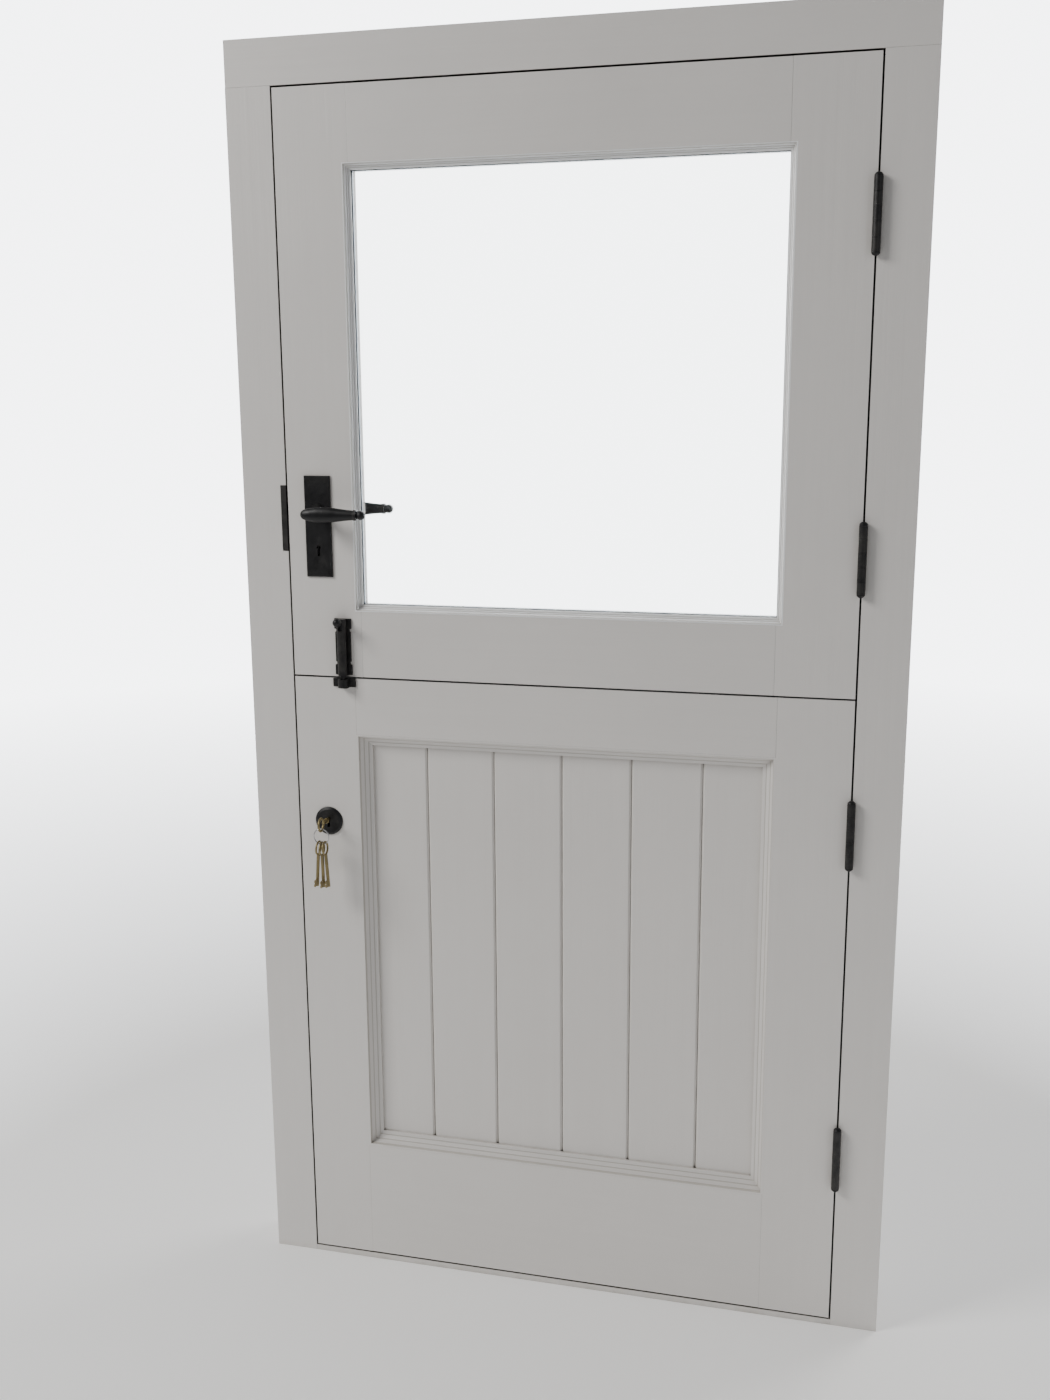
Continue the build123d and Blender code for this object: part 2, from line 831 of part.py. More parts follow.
with BuildPart() as upper_top_rail:
    add(plank(sight_left, sight_right, sight_top, upper_top, room_face, leaf_back))
    glazing_rebate()
upper_top_rail.part.label = "upper_top_rail"
export_step(upper_top_rail.part, "parts/upper_top_rail.step")

with BuildPart() as upper_bottom_rail:
    add(plank(sight_left, sight_right, upper_bottom, sight_bottom, room_face, leaf_back))
    glazing_rebate()
upper_bottom_rail.part.label = "upper_bottom_rail"
export_step(upper_bottom_rail.part, "parts/upper_bottom_rail.step")

bead_section = stepped_ovolo(bead_width, bead_depth, bead_flat, bead_step, bead_toe, bead_bulge)
for name, side in moulding_sides(glass_left, glass_right, glass_bottom, glass_top).items():
    corner, run, inward, length = side
    bead = mitred_length(bead_section, corner, run, inward, length, bead_width, bead_depth)
    bead.label = "glazing_bead_" + name
    export_step(bead, "parts/glazing_bead_" + name + ".step")


# Sealed glazing unit

pane_width = glass_right - glass_left - 2 * pane_edge_gap
pane_height = glass_top - glass_bottom - 2 * pane_edge_gap
inner_pane_front = room_face + bead_depth
outer_pane_front = inner_pane_front + pane_thickness + pane_space

with BuildPart() as inner_pane:
    with BuildSketch(facing_outside(glass_x, inner_pane_front, glass_z)):
        Rectangle(pane_width, pane_height)
    extrude(amount=pane_thickness)
inner_pane.part.label = "inner_pane"
export_step(inner_pane.part, "parts/inner_pane.step")

with BuildPart() as outer_pane:
    with BuildSketch(facing_outside(glass_x, outer_pane_front, glass_z)):
        Rectangle(pane_width, pane_height)
    extrude(amount=pane_thickness)
outer_pane.part.label = "outer_pane"
export_step(outer_pane.part, "parts/outer_pane.step")

with BuildPart() as spacer_bar:
    spacer_outer = 2 * pane_edge_gap
    spacer_inner = spacer_outer + 2 * spacer_width
    with BuildSketch(facing_outside(glass_x, inner_pane_front + pane_thickness, glass_z)):
        Rectangle(pane_width - spacer_outer, pane_height - spacer_outer)
        Rectangle(pane_width - spacer_inner, pane_height - spacer_inner, mode=Mode.SUBTRACT)
    extrude(amount=pane_space)
spacer_bar.part.label = "spacer_bar"
export_step(spacer_bar.part, "parts/spacer_bar.step")


# Locks

def bolt_hole(height, level, thickness, depth):
    """Guide for a bolt, cut inwards from the lock edge of the leaf."""
    with BuildSketch(Plane.YZ.offset(leaf_left)) as mouth:
        with Locations((leaf_middle, level)):
            Rectangle(thickness + 2 * bolt_fit, height + 2 * bolt_fit)
    extrude(mouth.sketch, amount=depth + case_wall, mode=Mode.SUBTRACT)


def key_chamber(key_height):
    """Keyhole through a lock case and the round space in which the key's bit turns."""
    front = facing_outside(lock_x, room_face, key_height)
    extrude(keyhole(front), amount=leaf_thickness, mode=Mode.SUBTRACT)
    with BuildSketch(facing_outside(lock_x, leaf_middle - key_cavity_depth / 2, key_height)) as space:
        Circle(key_cavity_radius)
    extrude(space.sketch, amount=key_cavity_depth, mode=Mode.SUBTRACT)


def lock_case(case_bottom, case_top):
    """Solid of a mortised lock case behind its forend."""
    with BuildSketch(Plane.YZ.offset(leaf_left + forend_thickness)) as end:
        with Locations((leaf_middle, (case_bottom + case_top) / 2)):
            Rectangle(case_thickness, case_top - case_bottom)
    extrude(end.sketch, amount=case_depth - forend_thickness)


def forend(case_bottom, case_top):
    """Face plate of a lock, flush with the leaf's edge."""
    with BuildSketch(Plane.YZ.offset(leaf_left)) as face:
        with Locations((leaf_middle, (case_bottom + case_top) / 2)):
            Rectangle(forend_width, case_top - case_bottom + 2 * forend_overhang)
    extrude(face.sketch, amount=forend_thickness)
    screws(forend_screws(case_bottom, case_top), screw_fit, Mode.SUBTRACT)


with BuildPart() as upper_lock_case:
    lock_case(upper_case_bottom, upper_case_top)
    bolt_hole(latch_height, spindle_height, latch_thickness, latch_length)
    bolt_hole(bolt_height, upper_bolt_height, bolt_thickness, bolt_length)
    key_chamber(upper_key_height)
    with BuildSketch(facing_outside(lock_x, room_face, spindle_height)):
        Circle(case_spindle_hole)
    extrude(amount=leaf_thickness, mode=Mode.SUBTRACT)
upper_lock_case.part.label = "upper_lock_case"
export_step(upper_lock_case.part, "parts/upper_lock_case.step")

with BuildPart() as upper_forend:
    forend(upper_case_bottom, upper_case_top)
    bolt_hole(latch_height, spindle_height, latch_thickness, forend_thickness)
    bolt_hole(bolt_height, upper_bolt_height, bolt_thickness, forend_thickness)
upper_forend.part.label = "upper_forend"
export_step(upper_forend.part, "parts/upper_forend.step")

with BuildPart() as lower_lock_case:
    lock_case(lower_case_bottom, lower_case_top)
    bolt_hole(bolt_height, lower_bolt_height, bolt_thickness, bolt_length)
    key_chamber(lower_key_height)
lower_lock_case.part.label = "lower_lock_case"
export_step(lower_lock_case.part, "parts/lower_lock_case.step")

with BuildPart() as lower_forend:
    forend(lower_case_bottom, lower_case_top)
    bolt_hole(bolt_height, lower_bolt_height, bolt_thickness, forend_thickness)
lower_forend.part.label = "lower_forend"
export_step(lower_forend.part, "parts/lower_forend.step")

with BuildPart() as latch_bolt:
    low = leaf_middle - latch_thickness / 2
    high = leaf_middle + latch_thickness / 2
    with BuildSketch(Plane.XY.offset(spindle_height - latch_height / 2)):
        with BuildLine():
            Polyline(
                (leaf_left, low),
                (leaf_left, high - latch_bevel),
                (leaf_left + latch_throw, high),
                (leaf_left + latch_length, high),
                (leaf_left + latch_length, low),
                close=True,
            )
        make_face()
    extrude(amount=latch_height)
latch_bolt.part.label = "latch_bolt"
export_step(latch_bolt.part, "parts/latch_bolt.step")


def deadbolt(level):
    """Bolt of a lock, drawn back so that its end is flush with the forend."""
    with BuildSketch(Plane.YZ.offset(leaf_left)) as end:
        with Locations((leaf_middle, level)):
            Rectangle(bolt_thickness, bolt_height)
    extrude(end.sketch, amount=bolt_length)


with BuildPart() as upper_deadbolt:
    deadbolt(upper_bolt_height)
upper_deadbolt.part.label = "upper_deadbolt"
export_step(upper_deadbolt.part, "parts/upper_deadbolt.step")

with BuildPart() as lower_deadbolt:
    deadbolt(lower_bolt_height)
lower_deadbolt.part.label = "lower_deadbolt"
export_step(lower_deadbolt.part, "parts/lower_deadbolt.step")


# Lever furniture

def lever_plate(plate, facing, face, screw_places):
    """Back plate with its rose and keyhole, built out from one face of the leaf."""
    axis_plane = facing(lock_x, face, spindle_height)
    with BuildSketch(axis_plane) as outline:
        with Locations((0, plate_top_above_spindle - plate_height / 2)):
            Rectangle(plate_width, plate_height)
    extrude(outline.sketch, amount=plate_thickness)
    front = plate.faces().sort_by(Axis(axis_plane.origin, axis_plane.z_dir))[-1]
    chamfer(front.edges(), plate_bevel)
    with BuildSketch(axis_plane.offset(plate_thickness)) as rose:
        Circle(rose_radius)
    extrude(rose.sketch, amount=rose_height, taper=rose_taper)
    with BuildSketch(axis_plane) as hole:
        Circle(case_spindle_hole)
    extrude(hole.sketch, amount=plate_thickness + rose_height, mode=Mode.SUBTRACT)
    key_plane = facing(lock_x, face, upper_key_height)
    extrude(keyhole(key_plane), amount=plate_thickness, mode=Mode.SUBTRACT)
    screws(screw_places, screw_fit, Mode.SUBTRACT)


with BuildPart() as inner_lever_plate:
    lever_plate(
        inner_lever_plate, facing_room, room_face, plate_screws(room_face - plate_thickness, 1)
    )
inner_lever_plate.part.label = "inner_lever_plate"
export_step(inner_lever_plate.part, "parts/inner_lever_plate.step")

with BuildPart() as outer_lever_plate:
    lever_plate(
        outer_lever_plate, facing_outside, leaf_back, plate_screws(leaf_back + plate_thickness, -1)
    )
outer_lever_plate.part.label = "outer_lever_plate"
export_step(outer_lever_plate.part, "parts/outer_lever_plate.step")

neck_start = plate_thickness + rose_height + lever_clearance


def lever(facing, face, away):
    """Lever with its neck on the spindle and its arm, collar and ball towards the hinges."""
    neck = facing(lock_x, face, spindle_height).offset(neck_start)
    axis_y = face + away * lever_projection
    collar_start = arm_sections[-1][0] - arm_collar_bite
    collar_end = collar_start + arm_collar_length
    neck_end = collar_end + arm_neck_length
    ball_centre = neck_end + sqrt(arm_ball_radius**2 - arm_neck_radius**2)
    with BuildSketch(neck) as neck_end_face:
        Circle(lever_neck_radius)
    extrude(neck_end_face.sketch, amount=lever_projection - neck_start)
    sections = []
    for along, half_height, half_depth in arm_sections:
        with BuildSketch(Plane.YZ.offset(lock_x + along)) as section:
            with Locations((axis_y, spindle_height)):
                Ellipse(half_depth, half_height)
        sections.append(section.sketch)
    loft(sections)
    with BuildSketch(facing_room(lock_x, axis_y, spindle_height)) as turned_end:
        with BuildLine():
            Polyline(
                (ball_centre + arm_ball_radius, 0),
                (collar_start, 0),
                (collar_start, arm_collar_radius),
                (collar_end, arm_collar_radius),
                (collar_end, arm_neck_radius),
                (neck_end, arm_neck_radius),
            )
            ThreePointArc(
                (neck_end, arm_neck_radius),
                (ball_centre, arm_ball_radius),
                (ball_centre + arm_ball_radius, 0),
            )
        make_face()
    revolve(turned_end.sketch, axis=Axis((lock_x, axis_y, spindle_height), (1, 0, 0)))
    with BuildSketch(neck) as socket:
        Rectangle(spindle_side + 2 * spindle_fit, spindle_side + 2 * spindle_fit)
    extrude(socket.sketch, amount=spindle_socket, mode=Mode.SUBTRACT)


with BuildPart() as inner_lever:
    lever(facing_room, room_face, -1)
inner_lever.part.label = "inner_lever"
export_step(inner_lever.part, "parts/inner_lever.step")

with BuildPart() as outer_lever:
    lever(facing_outside, leaf_back, 1)
outer_lever.part.label = "outer_lever"
export_step(outer_lever.part, "parts/outer_lever.step")

with BuildPart() as spindle:
    reach = neck_start + spindle_socket - spindle_fit
    with BuildSketch(facing_outside(lock_x, room_face - reach, spindle_height)):
        Rectangle(spindle_side, spindle_side)
    extrude(amount=leaf_thickness + 2 * reach)
spindle.part.label = "spindle"
export_step(spindle.part, "parts/spindle.step")


# Stable bolt on the upper leaf and its keep on the lower leaf

rod_y = room_face - stable_plate_thickness - rod_behind - rod_radius
rod_foot = lower_top + rod_end_gap
knob_level = stable_plate_top - knob_below_top


def rod_guide(level, height, width):
    """Rounded ridge on a plate, in which the rod runs."""
    with BuildSketch(Plane.XY.offset(level)) as ridge:
        with Locations((stable_x, rod_y)):
            Circle(width / 2)
        with Locations((stable_x, (rod_y + room_face) / 2)):
            Rectangle(width, room_face - rod_y)
    extrude(ridge.sketch, amount=height)


with BuildPart() as stable_bolt_plate:
    lobe = stable_lobe_height
    notch = stable_lobe_height + stable_notch_height
    with BuildSketch(facing_room(stable_x, room_face, stable_plate_bottom)) as outline:
        with Locations((0, stable_plate_height / 2)):
            Rectangle(stable_plate_waist, stable_plate_height)
            Rectangle(stable_body_width, stable_plate_height - 2 * notch)
        with Locations((0, lobe / 2), (0, stable_plate_height - lobe / 2)):
            Rectangle(stable_plate_width, lobe)
        fillet(outline.vertices(), stable_corner)
    extrude(amount=stable_plate_thickness)
    rod_guide(stable_plate_bottom, stable_plate_height, stable_guide_width)
    with BuildSketch(Plane.XY.offset(stable_plate_bottom)):
        with Locations((stable_x, rod_y)):
            Circle(rod_radius + rod_clearance)
    extrude(amount=stable_plate_height, mode=Mode.SUBTRACT)
    slot_foot = knob_level - rod_travel - knob_neck_radius - knob_neck_fit
    with BuildSketch(facing_room(stable_x, rod_y, (slot_foot + stable_plate_top) / 2)):
        Rectangle(2 * (knob_neck_radius + knob_neck_fit), stable_plate_top - slot_foot)
    extrude(amount=stable_guide_width, mode=Mode.SUBTRACT)
    screws(stable_screws, screw_fit, Mode.SUBTRACT)
stable_bolt_plate.part.label = "stable_bolt_plate"
export_step(stable_bolt_plate.part, "parts/stable_bolt_plate.step")

with BuildPart() as stable_bolt_rod:
    with BuildSketch(Plane.XY.offset(rod_foot)):
        with Locations((stable_x, rod_y)):
            Circle(rod_radius)
    extrude(amount=stable_plate_top - rod_foot)
    chamfer(stable_bolt_rod.faces().sort_by(Axis.Z)[0].edges(), rod_radius / 4)
    with BuildSketch(facing_room(stable_x, rod_y, knob_level)):
        Circle(knob_neck_radius)
    extrude(amount=knob_reach)
    with Locations((stable_x, rod_y - knob_reach, knob_level)):
        Sphere(knob_radius)
stable_bolt_rod.part.label = "stable_bolt_rod"
export_step(stable_bolt_rod.part, "parts/stable_bolt_rod.step")

with BuildPart() as stable_bolt_keep:
    with BuildSketch(facing_room(stable_x, room_face, lower_top - keep_height / 2)) as outline:
        Rectangle(keep_width, keep_height)
        fillet(outline.vertices(), stable_corner)
        with Locations((0, -keep_height / 2)):
            Ellipse(keep_guide_width / 2, keep_bulge)
    extrude(amount=stable_plate_thickness)
    rod_guide(lower_top - keep_height, keep_height, keep_guide_width)
    with BuildSketch(Plane.XY.offset(lower_top - keep_height)):
        with Locations((stable_x, rod_y)):
            Rectangle(2 * (rod_radius + keep_clearance), 2 * (rod_radius + keep_clearance))
    extrude(amount=keep_height, mode=Mode.SUBTRACT)
    screws(keep_screws, screw_fit, Mode.SUBTRACT)
stable_bolt_keep.part.label = "stable_bolt_keep"
export_step(stable_bolt_keep.part, "parts/stable_bolt_keep.step")

with BuildPart() as upper_leaf_screws:
    screws(upper_screw_places)
upper_leaf_screws.part.label = "upper_leaf_screws"
export_step(upper_leaf_screws.part, "parts/upper_leaf_screws.step")


# Lower leaf

def plough_groove():
    """Groove all round the panel opening for the edges of the boards."""
    centre_x = (panel_left + panel_right) / 2
    centre_z = (panel_bottom + panel_top) / 2
    with BuildSketch(facing_outside(centre_x, board_front - groove_fit, centre_z)) as groove:
        Rectangle(
            panel_right - panel_left + 2 * groove_depth,
            panel_top - panel_bottom + 2 * groove_depth,
        )
    extrude(groove.sketch, amount=board_thickness + 2 * groove_fit, mode=Mode.SUBTRACT)


with BuildPart() as lower_lock_stile:
    add(plank(leaf_left, panel_left, lower_bottom, lower_top, room_face, leaf_back))
    plough_groove()
    lock_mortise(lower_case_bottom, lower_case_top)
    stile_keyhole(lower_key_height)
    screws(
        forend_screws(lower_case_bottom, lower_case_top)
        + escutcheon_screws(room_face - escutcheon_thickness, 1)
        + escutcheon_screws(leaf_back + escutcheon_thickness, -1)
        + keep_screws,
        screw_fit,
        Mode.SUBTRACT,
    )
lower_lock_stile.part.label = "lower_lock_stile"
export_step(lower_lock_stile.part, "parts/lower_lock_stile.step")

with BuildPart() as lower_hinge_stile:
    add(plank(panel_right, leaf_right, lower_bottom, lower_top, room_face, leaf_back))
    plough_groove()
    hinge_seats(lower_hinges, leaf_right, -1)
    screws(flap_screws(lower_hinges, leaf_right, -1), screw_fit, Mode.SUBTRACT)
lower_hinge_stile.part.label = "lower_hinge_stile"
export_step(lower_hinge_stile.part, "parts/lower_hinge_stile.step")

with BuildPart() as lower_top_rail:
    add(plank(panel_left, panel_right, panel_top, lower_top, room_face, leaf_back))
    plough_groove()
lower_top_rail.part.label = "lower_top_rail"
export_step(lower_top_rail.part, "parts/lower_top_rail.step")

with BuildPart() as lower_bottom_rail:
    add(plank(panel_left, panel_right, lower_bottom, panel_bottom, room_face, leaf_back))
    plough_groove()
lower_bottom_rail.part.label = "lower_bottom_rail"
export_step(lower_bottom_rail.part, "parts/lower_bottom_rail.step")


# Tongued, grooved and V-jointed boards of the lower panel

board_pitch = (panel_right - panel_left) / board_count
board_middle = (board_front + board_back) / 2
board_housing = groove_depth - groove_edge_gap


def board_section(index):
    """Section of one board, seen from above; the end boards run into the stiles."""
    left = panel_left + index * board_pitch
    right = left + board_pitch
    if index == 0:
        left_side = [(left - board_housing, board_front), (left - board_housing, board_back)]
    else:
        edge = left + board_gap / 2
        slot = tongue_thickness / 2 + tongue_fit
        inner = edge + tongue_length + tongue_fit
        left_side = [
            (edge + board_vee, board_front),
            (edge, board_front + board_vee),
            (edge, board_middle - slot),
            (inner, board_middle - slot),
            (inner, board_middle + slot),
            (edge, board_middle + slot),
            (edge, board_back - board_vee),
            (edge + board_vee, board_back),
        ]
    if index == board_count - 1:
        right_side = [(right + board_housing, board_back), (right + board_housing, board_front)]
    else:
        edge = right - board_gap / 2
        half = tongue_thickness / 2
        right_side = [
            (edge - board_vee, board_back),
            (edge, board_back - board_vee),
            (edge, board_middle + half),
            (edge + tongue_length, board_middle + half),
            (edge + tongue_length, board_middle - half),
            (edge, board_middle - half),
            (edge, board_front + board_vee),
            (edge - board_vee, board_front),
        ]
    with BuildSketch(Plane.XY.offset(panel_bottom - board_housing)) as section:
        with BuildLine():
            Polyline(*left_side, *right_side, close=True)
        make_face()
    return section.sketch


for index in range(board_count):
    with BuildPart() as board:
        extrude(board_section(index), amount=panel_top - panel_bottom + 2 * board_housing)
    board.part.label = f"panel_board_{index + 1}"
    export_step(board.part, f"parts/panel_board_{index + 1}.step")

moulding_section = stepped_ovolo(
    moulding_width, panel_recess, moulding_flat, moulding_step, moulding_toe, moulding_bulge
)
for name, side in moulding_sides(panel_left, panel_right, panel_bottom, panel_top).items():
    corner, run, inward, length = side
    moulding = mitred_length(
        moulding_section, corner, run, inward, length, moulding_width, panel_recess
    )
    moulding.label = "panel_moulding_" + name
    export_step(moulding, "parts/panel_moulding_" + name + ".step")

with BuildPart() as weather_board:
    foot = lower_bottom + weather_board_lift
    head = foot + weather_board_height
    board_tip = leaf_back + weather_board_depth
    board_half = stop_half - weather_board_inset
    with BuildSketch(Plane.YZ.offset(-board_half)):
        with BuildLine():
            Polyline(
                (leaf_back + weather_board_top, head),
                (leaf_back, head),
                (leaf_back, foot),
                (board_tip, foot),
                (board_tip, foot + weather_board_nose),
            )
            SagittaArc(
                (board_tip, foot + weather_board_nose),
                (leaf_back + weather_board_top, head),
                -weather_board_hollow,
            )
        make_face()
        with Locations((board_tip - drip_inset, foot)):
            Circle(drip_radius, mode=Mode.SUBTRACT)
    extrude(amount=2 * board_half)
weather_board.part.label = "weather_board"
export_step(weather_board.part, "parts/weather_board.step")


# Furniture of the lower lock

def escutcheon(facing, face, screw_places):
    """Round bevelled plate with a keyhole, built out from one face of the leaf."""
    centre = facing(lock_x, face, lower_key_height - escutcheon_drop)
    with BuildSketch(centre) as edge:
        Circle(escutcheon_radius)
    extrude(edge.sketch, amount=escutcheon_edge)
    rise = escutcheon_thickness - escutcheon_edge
    with BuildSketch(centre.offset(escutcheon_edge)) as bevel:
        Circle(escutcheon_radius)
    extrude(bevel.sketch, amount=rise, taper=degrees(atan2(escutcheon_bevel, rise)))
    key_plane = facing(lock_x, face, lower_key_height)
    extrude(keyhole(key_plane), amount=escutcheon_thickness, mode=Mode.SUBTRACT)
    screws(screw_places, screw_fit, Mode.SUBTRACT)


with BuildPart() as inner_escutcheon:
    escutcheon(facing_room, room_face, escutcheon_screws(room_face - escutcheon_thickness, 1))
inner_escutcheon.part.label = "inner_escutcheon"
export_step(inner_escutcheon.part, "parts/inner_escutcheon.step")

with BuildPart() as outer_escutcheon:
    escutcheon(facing_outside, leaf_back, escutcheon_screws(leaf_back + escutcheon_thickness, -1))
outer_escutcheon.part.label = "outer_escutcheon"
export_step(outer_escutcheon.part, "parts/outer_escutcheon.step")

with BuildPart() as lower_leaf_screws:
    screws(lower_screw_places)
lower_leaf_screws.part.label = "lower_leaf_screws"
export_step(lower_leaf_screws.part, "parts/lower_leaf_screws.step")


# Key in the lower lock and the ring of keys that hangs on its bow

bow_y = room_face - key_bow_reach
key_tip = leaf_middle + key_bit_length / 2 + key_tip_length

with BuildPart() as lock_key:
    with Locations(Plane(origin=(lock_x, bow_y, lower_key_height), z_dir=(1, 0, 0))):
        Torus(key_bow_radius, key_bow_section)
    shaft_start = bow_y + key_bow_radius
    with BuildSketch(facing_outside(lock_x, shaft_start, lower_key_height)):
        Circle(key_shaft_radius)
    extrude(amount=key_tip - shaft_start)
    with BuildSketch(facing_room(lock_x, room_face - key_collar_reach, lower_key_height)):
        Circle(key_collar_radius)
    extrude(amount=key_collar_length)
    with BuildSketch(Plane.YZ.offset(lock_x)):
        with Locations((leaf_middle, lower_key_height - key_bit_reach / 2)):
            Rectangle(key_bit_length, key_bit_reach)
        with Locations(
            (leaf_middle - key_bit_length / 4, lower_key_height - key_bit_reach),
            (leaf_middle + key_bit_length / 4, lower_key_height - key_bit_reach),
        ):
            Rectangle(key_bit_length / 5, 2 * key_bit_cut, mode=Mode.SUBTRACT)
    extrude(amount=key_bit_thickness / 2, both=True)
lock_key.part.label = "lock_key"
export_step(lock_key.part, "parts/lock_key.step")

hook_level = lower_key_height - key_bow_radius
ring_centre = hook_level + key_bow_section + hang_gap + ring_wire - ring_radius

with BuildPart() as key_ring:
    with Locations(Plane(origin=(lock_x, bow_y, ring_centre), z_dir=(0, 1, 0))):
        Torus(ring_radius, ring_wire)
key_ring.part.label = "key_ring"
export_step(key_ring.part, "parts/key_ring.step")


def hung_key(across, lean):
    """Mortice key that hangs by its bow from the ring, its foot leaning by some degrees."""
    turn = radians(lean)
    wire_level = ring_centre - sqrt(ring_radius**2 - across**2)
    wire = (lock_x + across, bow_y, wire_level)
    down = (-sin(turn), 0, -cos(turn))
    hang = Plane(origin=wire, x_dir=(0, 1, 0), z_dir=(cos(turn), 0, -sin(turn)))
    bow_centre = ring_wire + hung_gap - (hung_bow_radius - hung_bow_section)
    shaft_start = bow_centre - hung_bow_radius
    foot = bow_centre + hung_bow_radius + hung_bow_section - hung_key_length
    bit_centre = foot + key_tip_length + key_bit_length / 2
    with Locations(hang.location * Location((0, bow_centre, 0))):
        Torus(hung_bow_radius, hung_bow_section)
    with BuildSketch(hang) as half_shaft:
        with Locations((hung_shaft_radius / 2, (shaft_start + foot) / 2)):
            Rectangle(hung_shaft_radius, shaft_start - foot)
    revolve(half_shaft.sketch, axis=Axis(wire, down))
    with BuildSketch(hang) as bit:
        with Locations((-key_bit_reach / 2, bit_centre)):
            Rectangle(key_bit_reach, key_bit_length)
        with Locations((-key_bit_reach, bit_centre)):
            Rectangle(2 * key_bit_cut, key_bit_length / 5, mode=Mode.SUBTRACT)
    extrude(bit.sketch, amount=key_bit_thickness / 2, both=True)


with BuildPart() as hung_key_bunch:
    for across, lean in hung_keys:
        hung_key(across, lean)
hung_key_bunch.part.label = "hung_key_bunch"
export_step(hung_key_bunch.part, "parts/hung_key_bunch.step")
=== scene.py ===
"""Finishes of a stable door in its frame, on the meshes of its CAD model.

Painted timber, clear glass, black ironwork and brass keys, in a plain studio.
"""

import math

import bmesh
import bpy
from bpy.props import FloatProperty, FloatVectorProperty, PointerProperty
from bpy.types import Operator, Panel, PropertyGroup
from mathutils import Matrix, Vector

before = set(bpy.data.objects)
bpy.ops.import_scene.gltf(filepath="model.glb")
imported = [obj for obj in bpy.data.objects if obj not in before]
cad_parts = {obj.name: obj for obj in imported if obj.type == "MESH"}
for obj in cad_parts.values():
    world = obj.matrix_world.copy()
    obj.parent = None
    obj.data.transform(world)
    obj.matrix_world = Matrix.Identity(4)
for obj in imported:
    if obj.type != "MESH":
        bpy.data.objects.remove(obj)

bl_info = {
    "name": "Stable Door Finishes",
    "version": (1, 0, 0),
    "blender": (4, 5, 0),
    "location": "View3D > Sidebar > Stable Door",
    "description": "Paints, glazes and furnishes a stable door in its frame",
    "category": "Object",
}

UPRIGHTS = (
    "frame_lock_jamb",
    "frame_hinge_jamb",
    "upper_lock_stile",
    "upper_hinge_stile",
    "lower_lock_stile",
    "lower_hinge_stile",
)
RAILS = (
    "frame_head",
    "upper_top_rail",
    "upper_bottom_rail",
    "lower_top_rail",
    "lower_bottom_rail",
    "weather_board",
)
BOARDS = tuple(f"panel_board_{index}" for index in range(1, 7))
UPRIGHT_MOULDINGS = ("panel_moulding_hinge_side", "panel_moulding_lock_side")
LEVEL_MOULDINGS = ("panel_moulding_top", "panel_moulding_bottom")
UPRIGHT_BEADS = ("glazing_bead_hinge_side", "glazing_bead_lock_side")
LEVEL_BEADS = ("glazing_bead_top", "glazing_bead_bottom")
PANES = ("inner_pane", "outer_pane")
IRON_PLATES = (
    "inner_lever_plate",
    "outer_lever_plate",
    "stable_bolt_plate",
    "stable_bolt_keep",
    "inner_escutcheon",
    "outer_escutcheon",
)
IRON_TURNED = ("inner_lever", "outer_lever", "stable_bolt_rod")
IRON_HINGES = ("frame_hinge_flaps", "upper_hinge_flaps", "lower_hinge_flaps", "hinge_pins")
SCREWS = ("frame_screws", "upper_leaf_screws", "lower_leaf_screws")
LOCK_WORKS = (
    "upper_lock_case",
    "lower_lock_case",
    "upper_deadbolt",
    "lower_deadbolt",
    "latch_bolt",
    "spindle",
    "upper_forend",
    "lower_forend",
)
STRIKES = ("upper_strike_plate", "lower_strike_plate")
THRESHOLD = "frame_threshold"
KEYS = ("lock_key", "hung_key_bunch")

ACROSS, UP = 0, 2
DOOR_MIDDLE = (0.0, 0.0, 1.0)
WARM_WHITE = (1.0, 0.985, 0.96)
COOL_WHITE = (0.94, 0.97, 1.0)
PICTURE_HEIGHT_MM = 36.0


# Node helpers


def place(tree, kind, inputs=None, **settings):
    """Adds a node, sets its fields and fills its inputs with values or links."""
    made = tree.nodes.new(kind)
    for field, value in settings.items():
        setattr(made, field, value)
    for name, value in (inputs or {}).items():
        if isinstance(value, bpy.types.NodeSocket):
            tree.links.new(value, made.inputs[name])
        else:
            made.inputs[name].default_value = value
    return made


def calculate(tree, operation, *values):
    """A Math node on up to three values or sockets."""
    made = place(tree, "ShaderNodeMath", dict(enumerate(values)), operation=operation)
    return made.outputs[0]


def stretch(tree, vector, scale):
    """The vector multiplied along each axis."""
    made = place(tree, "ShaderNodeVectorMath", {0: vector, 1: scale}, operation="MULTIPLY")
    return made.outputs[0]


def noise(tree, vector, scale, detail=3.0, roughness=0.5, distortion=0.0):
    """The value of a noise texture."""
    made = place(
        tree,
        "ShaderNodeTexNoise",
        {
            "Vector": vector,
            "Scale": scale,
            "Detail": detail,
            "Roughness": roughness,
            "Distortion": distortion,
        },
    )
    return made.outputs["Fac"]


def remap(tree, value, low, high, to_low=0.0, to_high=1.0):
    """The value moved from one range to another, and kept inside it."""
    made = place(
        tree,
        "ShaderNodeMapRange",
        {"Value": value, "From Min": low, "From Max": high, "To Min": to_low, "To Max": to_high},
        clamp=True,
    )
    return made.outputs["Result"]


def blend_colour(tree, factor, first, second):
    """First colour at factor 0, second at factor 1."""
    made = place(tree, "ShaderNodeMix", data_type="RGBA", clamp_factor=True)
    for index, value in ((0, factor), (6, first), (7, second)):
        if isinstance(value, bpy.types.NodeSocket):
            tree.links.new(value, made.inputs[index])
        else:
            made.inputs[index].default_value = value
    return made.outputs[2]


def scaled_colour(tree, colour, factor):
    """The colour made lighter or darker by a factor."""
    made = place(
        tree,
        "ShaderNodeVectorMath",
        {0: colour, "Scale": factor},
        operation="SCALE",
    )
    return made.outputs[0]


